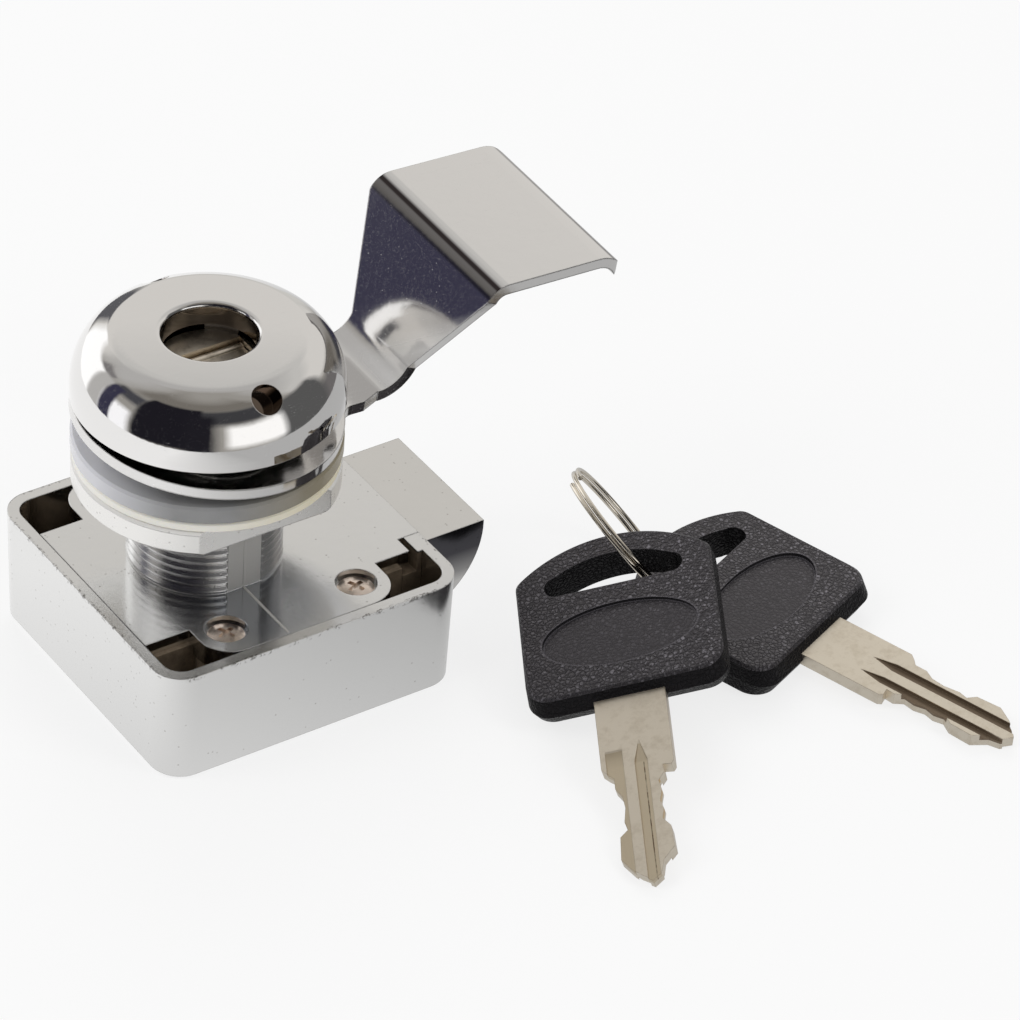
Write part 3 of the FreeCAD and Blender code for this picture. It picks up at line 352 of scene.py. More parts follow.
def build_polish():
    """Polished plating seen close: faint orange peel, specks and stray scratches."""
    outputs = ("Height", "Specks", "Scratches")
    tree, given, end = new_group("polished_plating", outputs, Place=None, Speck_share=0.3)
    place = given["Place"]
    peel = noise(tree, place, 0.42, 2.0)
    grit = noise(tree, place, 3.6, 2.0, 0.6)
    specks = dots(tree, place, 1.5, 1, given["Speck share"], (0.07, 1.0), (0.13, 0.0))
    lines = []
    for turn, stretch in (((0.3, 0.9, 0.5), (0.10, 2.2, 2.2)), ((1.1, 0.2, 2.1), (0.08, 1.7, 1.7))):
        laid = put(tree, "Mapping", {"Vector": place, "Rotation": turn, "Scale": stretch}).outputs[0]
        off = maths(tree, "ABSOLUTE", maths(tree, "SUBTRACT", noise(tree, laid, 1.0, 1.0, 0.4), 0.61))
        lines.append(steps(tree, off, (0.0, 1.0), (0.003, 0.0)))
    scratches = maths(tree, "MAXIMUM", *lines)
    height = maths(tree, "MULTIPLY_ADD", grit, 0.035, peel)
    height = maths(tree, "MULTIPLY_ADD", specks, -0.10, height)
    height = maths(tree, "MULTIPLY_ADD", scratches, -0.03, height)
    return close_group(tree, end, height, specks, scratches)


def build_grain():
    """Moulded leather grain: rounded cells with creases between them, some crests catching the light."""
    outputs = ("Height", "Crease", "Glint")
    tree, given, end = new_group("leather_grain", outputs, Place=None, Cells_per_mm=2.4)
    place = given["Place"]
    sway = put(tree, "TexNoise", {"Vector": place, "Scale": 1.1, "Detail": 2.0}).outputs["Color"]
    swayed = vectors(tree, "MULTIPLY_ADD", sway, (0.5, 0.5, 0.5), place)
    spread = scaled(tree, swayed, given["Cells per mm"])
    cells = put(tree, "TexVoronoi", {"Vector": spread, "Scale": 1.0, "Randomness": 1.0}, feature="DISTANCE_TO_EDGE")
    rise = steps(tree, cells.outputs["Distance"], (0.0, 0.0), (0.10, 0.55), (0.34, 1.0))
    height = maths(tree, "MULTIPLY_ADD", noise(tree, place, 7.0, 2.0), 0.25, rise)
    lit = steps(tree, noise(tree, place, 1.8, 3.0, 0.65), (0.50, 0.0), (0.64, 1.0))
    glint = maths(tree, "MULTIPLY", lit, steps(tree, rise, (0.45, 0.0), (0.9, 1.0)))
    return close_group(tree, end, height, maths(tree, "SUBTRACT", 1.0, rise), glint)


def build_drawn():
    """Fine straight lines along the second axis of the place, with spots of tarnish."""
    tree, given, end = new_group("drawn_lines", ("Lines", "Tarnish"), Place=None, Lines_per_mm=9.0)
    place = given["Place"]
    stretched = put(tree, "Mapping", {"Vector": place, "Scale": (1.0, 0.05, 1.0)}).outputs[0]
    lines = noise(tree, scaled(tree, stretched, given["Lines per mm"]), 1.0, 3.0, 0.6)
    tarnish = steps(tree, noise(tree, place, 0.7, 5.0, 0.65), (0.48, 0.0), (0.72, 1.0))
    return close_group(tree, end, lines, tarnish)


def build_within_box():
    """One inside a box given by its middle and half sizes, nothing outside."""
    tree, given, end = new_group("within_box", ("Inside",), Place=None, Middle=None, Half=None)
    off = vectors(tree, "ABSOLUTE", vectors(tree, "SUBTRACT", given["Place"], given["Middle"]))
    x, y, z = parted(tree, vectors(tree, "SUBTRACT", given["Half"], off))
    least = maths(tree, "MINIMUM", maths(tree, "MINIMUM", x, y), z)
    return close_group(tree, end, maths(tree, "GREATER_THAN", least, 0.0))


def build_within_tube():
    """One inside a round hole, by its mouth, its outward direction and its radius, nothing outside."""
    tree, given, end = new_group("within_tube", ("Inside",), Place=None, Mouth=None, Outward=None, Radius=1.0)
    off = vectors(tree, "SUBTRACT", given["Place"], given["Mouth"])
    below = maths(tree, "LESS_THAN", vectors(tree, "DOT_PRODUCT", off, given["Outward"]), 0.0)
    reach = vectors(tree, "LENGTH", vectors(tree, "CROSS_PRODUCT", off, given["Outward"]))
    near = maths(tree, "LESS_THAN", reach, given["Radius"])
    return close_group(tree, end, maths(tree, "MULTIPLY", below, near))


def build_card():
    """A soft-edged card in the surroundings, by its direction and half sizes in radians."""
    tree, given, end = new_group("studio_card", ("Share",), Place=None, Azimuth=0.0, Elevation=0.0,
                                 Half_width=0.3, Half_height=0.3, Soft=0.1)
    turn = maths(tree, "MULTIPLY", given["Azimuth"], -1.0)
    unit = vectors(tree, "NORMALIZE", given["Place"])
    spun = put(tree, "VectorRotate", {"Vector": unit, "Angle": turn}, rotation_type="Z_AXIS").outputs[0]
    x, y, z = parted(tree, spun)
    aside = maths(tree, "ABSOLUTE", maths(tree, "ARCTAN2", y, x))
    above = maths(tree, "ABSOLUTE", maths(tree, "SUBTRACT", maths(tree, "ARCSINE", z), given["Elevation"]))
    shares = []
    for half, off in (("Half width", aside), ("Half height", above)):
        left = maths(tree, "DIVIDE", maths(tree, "SUBTRACT", given[half], off), given["Soft"])
        shares.append(maths(tree, "ADD", left, 0.5, clamp=True))
    return close_group(tree, end, maths(tree, "MULTIPLY", *shares))


def shared(name):
    """The node group of that name, built the first time it is wanted."""
    makers = {
        "casting_skin": build_casting_skin, "polished_plating": build_polish, "leather_grain": build_grain,
        "drawn_lines": build_drawn, "within_box": build_within_box, "within_tube": build_within_tube,
        "studio_card": build_card,
    }
    return bpy.data.node_groups.get(name) or makers[name]()


class Finish:
    """A material under construction: its tree, its shader's inputs and its place in millimetres."""

    def __init__(self, name, colour, roughness, metallic=1.0, matrix=None):
        self.material = bpy.data.materials.new(name)
        self.material.use_nodes = True
        self.material.diffuse_color = (*colour, 1.0)
        self.colour = tuple(colour)
        self.tree = self.material.node_tree
        self.inputs = self.tree.nodes["Principled BSDF"].inputs
        self.give("Base Color", (*colour, 1.0))
        self.give("Roughness", roughness)
        self.give("Metallic", metallic)
        coordinates = put(self.tree, "TexCoord").outputs
        self.normal = coordinates["Normal"]
        source = coordinates["Object"]
        if matrix is not None:
            own = {"Vector": source, "Location": matrix.to_translation(), "Rotation": matrix.to_euler("XYZ")}
            source = put(self.tree, "Mapping", own, vector_type="TEXTURE").outputs[0]
        self.place = scaled(self.tree, source, 1.0 / MM)

    def give(self, name, value):
        """Feeds one of the shader's inputs."""
        feed(self.tree, self.inputs[name], value)

    def maths(self, operation, *values):
        return maths(self.tree, operation, *values)

    def times(self, first, *others):
        """The product of sockets and numbers."""
        for other in others:
            first = self.maths("MULTIPLY", first, other)
        return first

    def less(self, share, amount):
        """One, less an amount where the share is one."""
        return self.maths("MULTIPLY_ADD", share, -amount, 1.0)

    def steps(self, source, *stops):
        return steps(self.tree, source, *stops)

    def noise(self, scale, detail, roughness=0.5):
        return noise(self.tree, self.place, scale, detail, roughness)

    def axis(self, index):
        """How far along X, Y or Z the place is."""
        return parted(self.tree, self.place)[index]

    def along(self, direction):
        """How far along a direction the place is."""
        return vectors(self.tree, "DOT_PRODUCT", self.place, direction)

    def facing(self, direction):
        """How far the surface faces a direction, one for squarely."""
        return vectors(self.tree, "DOT_PRODUCT", self.normal, direction)

    def effect(self, name, **values):
        """A shared effect fed with the place; its outputs are read by name."""
        given = {label.replace("_", " "): value for label, value in values.items()}
        return put(self.tree, "Group", {"Place": self.place, **given}, node_tree=shared(name)).outputs

    def box(self, middle, half):
        """One inside a box, by its middle and half sizes."""
        return self.effect("within_box", Middle=middle, Half=half)["Inside"]

    def tube(self, mouth, outward, radius):
        """One inside a round hole."""
        return self.effect("within_tube", Mouth=mouth, Outward=outward, Radius=radius)["Inside"]

    def upright(self, middle, start, end):
        """One near an upright line through the middle, fading out between two distances."""
        off = vectors(self.tree, "SUBTRACT", self.place, (*middle, 0))
        reach = vectors(self.tree, "LENGTH", vectors(self.tree, "MULTIPLY", off, (1, 1, 0)))
        values = {"Value": reach, "From Min": start, "From Max": end, "To Min": 1.0, "To Max": 0.0}
        return put(self.tree, "MapRange", values).outputs[0]

    def near_edge(self, radius):
        """One beside sharp edges, within a radius in millimetres."""
        rounded = put(self.tree, "Bevel", {"Radius": radius * MM}, samples=4).outputs[0]
        own = put(self.tree, "NewGeometry").outputs["Normal"]
        return self.steps(vectors(self.tree, "DOT_PRODUCT", rounded, own), (0.90, 1.0), (0.985, 0.0))

    def paint(self, share, colour):
        """Lays another colour over what is there, by a share."""
        base = self.inputs["Base Color"]
        under = base.links[0].from_socket if base.links else self.colour
        self.give("Base Color", blend_colours(self.tree, share, under, colour))

    def polish(self, share, low, high):
        """Sets the roughness between two values by a share."""
        self.give("Roughness", put(self.tree, "MapRange", {"Value": share, "To Min": low, "To Max": high}).outputs[0])

    def shape_normal(self, kind, values, **settings):
        """Lays a node that turns the shading normal over what is there."""
        normal = self.inputs["Normal"]
        if normal.links:
            values["Normal"] = normal.links[0].from_socket
        self.give("Normal", put(self.tree, kind, values, **settings).outputs[0])

    def soften_edges(self, radius):
        """Rounds sharp edges in the shading, by a radius in millimetres."""
        self.shape_normal("Bevel", {"Radius": radius * MM}, samples=4)

    def relief(self, height, depth):
        """Bumps the surface by a height, in millimetres from low to high."""
        self.shape_normal("Bump", {"Height": height, "Strength": 1.0, "Distance": depth * MM})


def dress(material, *nodes):
    """Gives CAD nodes their material."""
    for name in nodes:
        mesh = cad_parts[name].data
        mesh.materials.clear()
        mesh.materials.append(material)


def filled(name, bm, material):
    """A finished mesh becomes an object in the scene."""
    mesh = bpy.data.meshes.new(name)
    bm.to_mesh(mesh)
    bm.free()
    mesh.materials.append(material)
    piece = bpy.data.objects.new(name, mesh)
    bpy.context.scene.collection.objects.link(piece)
    return piece


def bring(name, bm, material, body):
    """A finished mesh becomes a piece of the lock that rides on a body."""
    piece = filled(name, bm, material)
    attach(piece, body)
    return piece


def key_matrix(place, turn):
    """Where a key lies: turned about Z, raised at its head, then rolled about its own length."""
    yaw, pitch, roll = (math.radians(angle) for angle in turn)
    spun = Matrix.Rotation(yaw, 4, "Z") @ Matrix.Rotation(pitch, 4, "X") @ Matrix.Rotation(roll, 4, "Y")
    return Matrix.Translation(Vector(place) * MM) @ spun


KEY_1 = key_matrix((35.12, -41.36, -9.14), (-28.4, 11.3, -18.2))
KEY_2 = key_matrix((65.23, -39.79, -12.99), (21.4, 3.4, -2.0))


# Finishes

def casting(name, colour, roughness, pits, dull=None):
    """Plated zinc casting: satin-bright skin, small pits and slow clouds of haze; dull marks its rougher parts."""
    made = Finish(name, colour, roughness)
    skin = made.effect("casting_skin", Pit_share=pits)
    made.paint(made.times(skin["Pits"], 0.45), PIT_SHADE)
    haze = made.times(skin["Cloud"], 0.5)
    if dull:
        haze = made.maths("MAXIMUM", haze, dull(made))
    made.polish(haze, roughness * 0.7, roughness * 2.2)
    made.relief(skin["Height"], 0.012)
    made.soften_edges(0.22)
    return made


def on_barrel(made):
    """Haze on the threaded barrel, whose skin is rougher than the plate's."""
    return made.times(made.upright((0, 0), *BARREL_CRESTS), 0.8)


def plate_casting(settings):
    """The cover plate: a painted dark reflection of the barrel on the flat before it, and painted shade in the barrel's
    thread roots.
    """
    made = casting("plate_casting", settings.casting_colour, settings.casting_gloss * 0.75, 0.14, on_barrel)
    flat = made.maths("GREATER_THAN", made.facing(UP), 0.9)
    # Painted reflection: the barrel's dark image on the plate's flat, laid on as colour
    made.paint(made.times(made.upright((0.0, -13.0), 5.5, 11.0), flat, 0.8), FOOT_REFLECTION_SHADE)
    above = made.maths("GREATER_THAN", made.axis(2), 0.4)
    # Painted shade in the roots of the barrel's threads
    made.paint(made.times(made.upright((0, 0), *BARREL_ROOTS), above, 0.22), THREAD_ROOT_SHADE)
    return made.material


def on_chamfer(made):
    """One where the nut's edges slope upwards."""
    return made.steps(made.facing(UP), (0.3, 0.0), (0.45, 1.0), (0.88, 1.0), (0.97, 0.0))


def nut_finish(settings):
    """The clamp nut, with chalky chamfers."""
    made = casting("nut_casting", settings.nut_colour, 0.24, 0.2, on_chamfer)
    made.give("Metallic", made.less(on_chamfer(made), 0.8))
    return made.material


def case_finish(settings):
    """The case: dull, mottled dark brown in its pockets, and a broken dark line along the rim's outer edge."""
    made = casting("case_casting", settings.casting_colour, settings.casting_gloss, 0.06)
    inside = made.box(CASE_MIDDLE, CASE_INSIDE)
    # Mottled dark brown inside the pockets
    deep, light = ([c * share for c in settings.pocket_colour] for share in (0.3, 1.7))
    made.paint(inside, blend_colours(made.tree, made.noise(0.7, 4.0, 0.7), deep, light))
    made.give("Metallic", made.less(inside, 0.55))
    outside = made.less(made.box(CASE_MIDDLE, CASE_RIM), 1.0)
    # A broken dark line along the rim's outer edge
    high = made.steps(made.maths("ADD", made.axis(2), 1.0), (0.35, 0.0), (0.75, 1.0))
    broken = made.steps(made.noise(1.3, 5.0, 0.75), (0.52, 0.0), (0.60, 1.0))
    made.paint(made.times(broken, high, outside, 0.7), RIM_DARK_SPECKS)
    return made.material


def bolt_finish(settings):
    """The bolt's plating, with painted shade on its sides that deepens towards the top."""
    made = casting("bolt_casting", settings.bolt_colour, 0.13, 0.12)
    side = made.maths("LESS_THAN", made.maths("ABSOLUTE", made.facing(UP)), 0.8)
    # Painted shade on the sides, growing with height
    upper_shade = made.steps(made.maths("MULTIPLY_ADD", made.axis(2), 0.1, 1.0), (0.0, 0.1), (0.15, 0.55), (0.45, 0.95))
    made.paint(made.times(side, upper_shade), BOLT_SIDE_SHADE)
    return made.material


def chrome_finish(name, settings, peel, specks, smooth=0.035):
    """Polished chrome: faint orange peel, specks and stray scratches."""
    made = Finish(name, settings.chrome_colour, 0.05)
    wear = made.effect("polished_plating", Speck_share=specks)
    made.polish(made.maths("MAXIMUM", wear["Specks"], wear["Scratches"]), smooth, 0.30)
    made.relief(wear["Height"], peel)
    return made


def dome_finish(settings):
    """The dome cap, its flat slightly domed in what it mirrors; its key hole's wall and spanner holes are dark."""
    made = chrome_finish("dome_chrome", settings, 0.008, 0.10)
    reach = made.less(made.upright((0, 0), 0.0, 20.0), 1.0)
    made.relief(made.times(reach, reach), -0.9)
    made.paint(made.tube((0, 0, KEYHOLE_TOP), UP, KEYHOLE_RADIUS), KEYHOLE_SHADE)
    for side in (-1, 1):
        outward = SPANNER_TURN @ Vector((0, side * math.sin(SPANNER_TILT), math.cos(SPANNER_TILT)))
        mouth = SPANNER_TURN @ (SPANNER_PLACE * Vector((1, side, 1))) - outward * 0.25
        made.paint(made.tube(mouth, outward, SPANNER_RADIUS), SPANNER_SHADE)
    made.soften_edges(0.15)
    return made.material


def plate_finish(settings):
    """The finger pull plate: a dark crease along its upper bend, painted shade in thin lines at its edges and a cloudy
    foot.
    """
    made = chrome_finish("plate_chrome", settings, 0.009, 0.42, 0.085)
    crease = made.steps(made.facing(TAB), (0.44, 0.0), (0.50, 0.7), (0.80, 0.75), (0.84, 1.0), (0.90, 1.0), (0.95, 0.0))
    high = made.maths("GREATER_THAN", made.axis(2), 30.0)
    near = made.maths("LESS_THAN", made.axis(0), 33.5)
    made.paint(made.times(crease, high, near), CREASE_SHADE)
    # Painted shade: thin dark lines along the edges of the sheet's side faces
    side = made.maths("GREATER_THAN", made.maths("ABSOLUTE", made.facing((0, 1, 0))), 0.6)
    made.paint(made.times(made.near_edge(0.35), side), PLATE_EDGE_SHADE)
    made.relief(made.along(LEAN), 1.0)
    # The fan's foot is cloudy and takes the lamps' light
    fan = made.steps(made.facing(FAN), (0.5, 0.0), (0.8, 1.0))
    start, end = FOOT_RANGE
    foot = put(made.tree, "MapRange", {"Value": made.along(DOWN_FAN), "From Min": start, "From Max": end}).outputs[0]
    made.give("Metallic", made.less(made.times(foot, fan), 0.55))
    made.soften_edges(0.25)
    return made.material


def plug_finish(name, colour):
    """Warm plating with drawn lines and spots of tarnish."""
    made = Finish(name, colour, 0.34)
    drawn = made.effect("drawn_lines")
    made.paint(made.times(drawn["Tarnish"], 0.5), PLUG_TARNISH)
    made.polish(drawn["Lines"], 0.22, 0.48)
    made.relief(drawn["Lines"], 0.006)
    return made.material


def steel_finish(name, colour, roughness, tarnish=0.4):
    """Plated steel or brass with drawn lines; its tarnish is a darker shade of its colour."""
    made = Finish(name, colour, roughness)
    drawn = made.effect("drawn_lines", Lines_per_mm=5.0)
    made.paint(made.times(drawn["Tarnish"], tarnish), [c * 0.45 for c in colour])
    made.polish(drawn["Lines"], roughness * 0.7, roughness * 1.5)
    made.relief(drawn["Lines"], 0.005)
    return made.material


def plastic_washer(made, pits, cloud, amount, low, high, depth, radius):
    """Clouds, a smooth skin and a little light let through."""
    skin = made.effect("casting_skin", Pit_share=pits)
    made.paint(made.times(skin["Cloud"], amount), cloud)
    made.polish(skin["Cloud"], low, high)
    made.relief(skin["Height"], 0.006)
    made.give("Subsurface Weight", depth)
    made.give("Subsurface Radius", radius)
    return made.material


def across_view(made, start, end):
    """A share that rises from the lock's left, seen from the keys' side, to its right."""
    share = made.maths("MULTIPLY_ADD", made.along((0.81, -0.58, 0.0)), 1 / 33.0, 0.5)
    return made.steps(share, (start, 0.0), (end, 1.0))


def thick_washer_finish(settings):
    """Cloudy plastic: cool and light on the left, with painted shade in front and a painted warm glow of light let
    through on the right.
    """
    made = Finish("thick_washer_plastic", settings.thick_washer_colour, 0.22, metallic=0.0)
    # Painted shade on the front
    made.paint(across_view(made, 0.12, 0.42), settings.thick_washer_shade)
    # Painted warm glow of light let through on the right side
    made.paint(across_view(made, 0.62, 0.95), settings.thick_washer_glow)
    return plastic_washer(made, 0.12, THICK_CLOUD, 0.22, 0.14, 0.32, 0.15, (0.0012, 0.0011, 0.0008))


def thin_washer_finish(settings):
    """Cream plastic, warmer to the right."""
    made = Finish("thin_washer_plastic", settings.thin_washer_colour, 0.35, metallic=0.0)
    # Warmer tone towards the right
    made.paint(across_view(made, 0.55, 1.0), settings.thin_washer_warm)
    return plastic_washer(made, 0.15, THIN_CLOUD, 0.4, 0.25, 0.45, 0.25, (0.0012, 0.0010, 0.0006))


def painted_well_highlight(made):
    """A painted highlight: a fine pale line round the edge of a head's oval well."""
    along = made.maths("DIVIDE", made.axis(0), WELL_HALF[0])
    across = made.maths("DIVIDE", made.maths("SUBTRACT", made.axis(1), WELL_MIDDLE), WELL_HALF[1])
    reach = made.maths("SQRT", made.maths("ADD", made.times(along, along), made.times(across, across)))
    off = made.maths("ABSOLUTE", made.maths("SUBTRACT", reach, 1.0))
    front = made.maths("GREATER_THAN", made.axis(2), 0.5)
    return made.times(made.steps(off, (0.012, 1.0), (0.035, 0.0)), front, 0.8)


def head_finish(name, settings, matrix):
    """Black plastic with a leather grain; the oval well and the sides are smoother. Painted shade darkens the grain's
    creases and the sides; painted highlights light the grain's crests, the edges and the oval well's rim.
    """
    made = Finish(name, settings.head_colour, 0.4, metallic=0.0, matrix=matrix)
    grain = made.effect("leather_grain", Cells_per_mm=MM / settings.grain_size)
    well = made.box((0.0, WELL_MIDDLE, 1.7), (WELL_HALF[0] + 0.2, WELL_HALF[1] + 0.2, 0.45))
    calm = made.less(well, 0.7)
    # Painted shade in the creases between the grain's cells
    made.paint(made.times(grain["Crease"], 0.5), GRAIN_CREASE_SHADE)
    top = made.steps(made.facing(matrix.to_3x3() @ UP), (0.45, 0.0), (0.8, 1.0))
    # Painted highlights: glints on the grain's crests on top, brighter towards the right
    right = made.steps(made.maths("MULTIPLY_ADD", made.axis(0), 0.04, 0.5), (0.0, 0.4), (1.0, 1.0))
    made.paint(made.times(grain["Glint"], top, calm, right), GRAIN_GLINT)
    # Painted highlight along the head's edges
    made.paint(made.times(made.near_edge(0.3), 0.55), HEAD_EDGE_HIGHLIGHT)
    # Painted highlight round the oval well's rim
    made.paint(painted_well_highlight(made), WELL_RIM_HIGHLIGHT)
    # Painted shade on the faces that don't face up
    made.paint(made.maths("MULTIPLY_ADD", top, -0.8, 0.8), HEAD_SIDE_SHADE)
    made.polish(grain["Height"], 0.46, 0.24)
    made.relief(made.times(grain["Height"], calm), 0.095)
    made.soften_edges(0.18)
    made.give("Specular Tint", (1.0, 0.94, 1.0, 1.0))
    made.give("Specular IOR Level", made.maths("MULTIPLY_ADD", top, 0.6, 0.1))
    return made.material


def blade_finish(name, settings, matrix, grooves, shade, dull, lines, cut_side):
    """Nickel plating, brass at the cuts on one side, painted shade in the milled grooves, and fine dark lines."""
    made = Finish(name, settings.blade_colour, 0.3, matrix=matrix)
    drawn = made.effect("drawn_lines", Lines_per_mm=7.0)
    made.paint(made.times(drawn["Tarnish"], 0.35), BLADE_TARNISH)
    milled = []
    for left, right, top in grooves:
        half = ((right - left) / 2 + 0.02, 11.6, top / 2)
        milled.append(made.box(((left + right) / 2, -18.2, top / 2), half))
        # Painted shade in the milled groove
        made.paint(milled[-1], shade)
    grooved = made.maths("MAXIMUM", *milled)
    made.give("Metallic", made.less(grooved, dull))
    patchy = made.steps(made.noise(0.9, 3.0), (0.40, 0.25), (0.60, 1.0))
    for middle in lines:
        made.paint(made.times(made.box((middle, -19.5, 0.38), (0.07, 9.5, 0.38)), patchy), BLADE_LINE)
    side = made.maths("LESS_THAN", made.maths("ABSOLUTE", made.facing(matrix.to_3x3() @ UP)), 0.5)
    cut = made.box((cut_side * 2.9, -16.4, 0.65), (1.75, 3.1, 0.45))
    bared = made.maths("MAXIMUM", made.maths("SUBTRACT", made.times(side, cut), grooved), 0.0)
    made.paint(made.times(bared, 0.85), settings.cut_colour)
    made.paint(made.times(made.near_edge(0.13), 0.4), BLADE_EDGE)
    made.polish(drawn["Lines"], 0.24, 0.46)
    made.relief(drawn["Lines"], 0.008)
    made.soften_edges(0.12)
    return made.material


# Pieces

class SLAMLOCK_OT_castings(bpy.types.Operator):
    """Dress the case, the cover plate with its barrel, the bolt and the clamp nut"""
    bl_idname = "slamlock.castings"
    bl_label = "Castings"

    def execute(self, context):
        settings = context.scene.slamlock_finish
        dress(case_finish(settings), "case_tray")
        dress(plate_casting(settings), "cover_plate")
        dress(bolt_finish(settings), "latch_bolt")
        dress(nut_finish(settings), "clamp_nut")
        return {"FINISHED"}


class SLAMLOCK_OT_seam(bpy.types.Operator):
    """Add the fine mould seam on the cover plate and the plain strip on the barrel's flat"""
    bl_idname = "slamlock.seam"
    bl_label = "Mould seam"

    def execute(self, context):
        detail = context.scene.slamlock_detail
        width, proud = detail.seam_width, detail.seam_height
        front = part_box("cover_plate")[0].y
        flat = FLAT_Y * MM
        # Middle and size of the seam across the plate, the seam up the flat, and the strip under it
        runs = (
            ((0, (front + flat) / 2 + 0.0001, 0), (width, flat - front - 0.0003, 2 * proud)),
            ((0, flat - proud / 2, 5.4 * MM), (width, 2 * proud, 10.6 * MM)),
            ((0, flat + 0.13 * MM, 5.3 * MM), (detail.strip_width, 0.3 * MM, 10.4 * MM)),
        )
        bm = bmesh.new()
        for middle, size in runs:
            made = bmesh.ops.create_cube(bm, size=1.0)
            bmesh.ops.scale(bm, vec=size, verts=made["verts"])
            bmesh.ops.translate(bm, vec=middle, verts=made["verts"])
        bmesh.ops.bevel(bm, geom=bm.edges[:], offset=proud * 0.8, offset_type="OFFSET", affect="EDGES",
                        segments=2, profile=0.5, material=-1)
        bring("mould_seam", bm, bpy.data.materials["plate_casting"], "lock_case")
        return {"FINISHED"}


class SLAMLOCK_OT_chrome(bpy.types.Operator):
    """Dress the dome cap and the finger pull plate in polished chrome"""
    bl_idname = "slamlock.chrome"
    bl_label = "Chrome"

    def execute(self, context):
        settings = context.scene.slamlock_finish
        dress(dome_finish(settings), "dome_cap")
        dress(plate_finish(settings), "pull_plate")
        return {"FINISHED"}


class SLAMLOCK_OT_washers(bpy.types.Operator):
    """Dress the two plastic washers"""
    bl_idname = "slamlock.washers"
    bl_label = "Washers"

    def execute(self, context):
        settings = context.scene.slamlock_finish
        dress(thick_washer_finish(settings), "thick_washer")
        dress(thin_washer_finish(settings), "thin_washer")
        return {"FINISHED"}


class SLAMLOCK_OT_plug(bpy.types.Operator):
    """Dress the plug, its wafers, the dust shutter, the cam, the screws, the small springs and the split ring"""
    bl_idname = "slamlock.plug"
    bl_label = "Plug and works"

    def execute(self, context):
        settings = context.scene.slamlock_finish
        shutter = [min(1.0, c * 1.1) for c in settings.plug_colour]
        dress(plug_finish("plug_casting", settings.plug_colour), "lock_plug")
        dress(plug_finish("shutter_nickel", shutter), "dust_shutter")
        dress(steel_finish("wafer_brass", settings.wafer_colour, 0.3), "wafer_tumblers")
        dress(steel_finish("cam_steel", settings.cam_colour, 0.32), "drive_cam")
        dress(steel_finish("screw_steel", settings.screw_colour, 0.30, 1.0), "cover_screws", "cam_washer", "cam_screw")
        dress(steel_finish("spring_steel", settings.spring_colour, 0.16, 0.15), "wafer_springs", "shutter_pin")
        dress(steel_finish("ring_steel", settings.ring_colour, 0.14, 0.0), "key_ring")
        return {"FINISHED"}


class SLAMLOCK_OT_springs(bpy.types.Operator):
    """Coil the two bolt springs at the solid model's length; the real ones flatten as the bolt goes in"""
    bl_idname = "slamlock.springs"
    bl_label = "Bolt springs"

    def execute(self, context):
        detail = context.scene.slamlock_detail
        low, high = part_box("bolt_springs")
        outer = (high.z - low.z) / 2
        length = high.x - low.x
        for label, middle_y in (("left", high.y - outer), ("right", low.y + outer)):
            centre = Vector((low.x, middle_y, (low.z + high.z) / 2))
            bm = self.coil(centre, outer, length, detail.spring_wire / 2, detail.spring_turns)
            spring = bring("bolt_spring_" + label, bm, bpy.data.materials["spring_steel"], "lock_case")
            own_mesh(spring)
            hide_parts("bolt_springs")
        return {"FINISHED"}

    def coil(self, centre, outer, length, wire, turns):
        """A round wire, given by its radius, wound along X from the centre of its first turn."""
        bm = bmesh.new()
        ring = bmesh.ops.create_circle(bm, cap_ends=False, segments=8, radius=wire)["verts"]
        for axis in "YZ":
            bmesh.ops.rotate(bm, verts=ring, cent=(0, 0, 0), matrix=Matrix.Rotation(math.pi / 2, 3, axis))
        bmesh.ops.translate(bm, verts=ring, vec=centre + Vector((wire, 0, outer - wire)))
        count = turns * 20
        advance = (length - 2 * wire) / count
        bmesh.ops.spin(bm, geom=bm.edges[:], cent=centre, axis=(1, 0, 0), dvec=(advance, 0, 0),
                       angle=math.tau * turns, steps=count, use_merge=False, use_duplicate=False)
        bmesh.ops.holes_fill(bm, edges=[e for e in bm.edges if e.is_boundary], sides=8)
        bmesh.ops.recalc_face_normals(bm, faces=bm.faces[:])
        for face in bm.faces:
            face.smooth = True
        return bm


class SLAMLOCK_OT_keys(bpy.types.Operator):
    """Dress the two keys: grained black heads and nickel blades with brass cuts"""
    bl_idname = "slamlock.keys"
    bl_label = "Keys"

    def execute(self, context):
        settings = context.scene.slamlock_finish
        dress(head_finish("key_plastic_1", settings, KEY_1), "key_1_head")
        dress(head_finish("key_plastic_2", settings, KEY_2), "key_2_head")
        blade_1 = blade_finish("key_nickel_1", settings, KEY_1, GROOVES_1, GROOVE_SHADE_1, 0.0, (0.75,), 1)
        blade_2 = blade_finish("key_nickel_2", settings, KEY_2, GROOVES_2, GROOVE_SHADE_2, 0.5, (0.5, -2.3), -1)
        dress(blade_1, "key_1_blade")
        dress(blade_2, "key_2_blade")
        return {"FINISHED"}


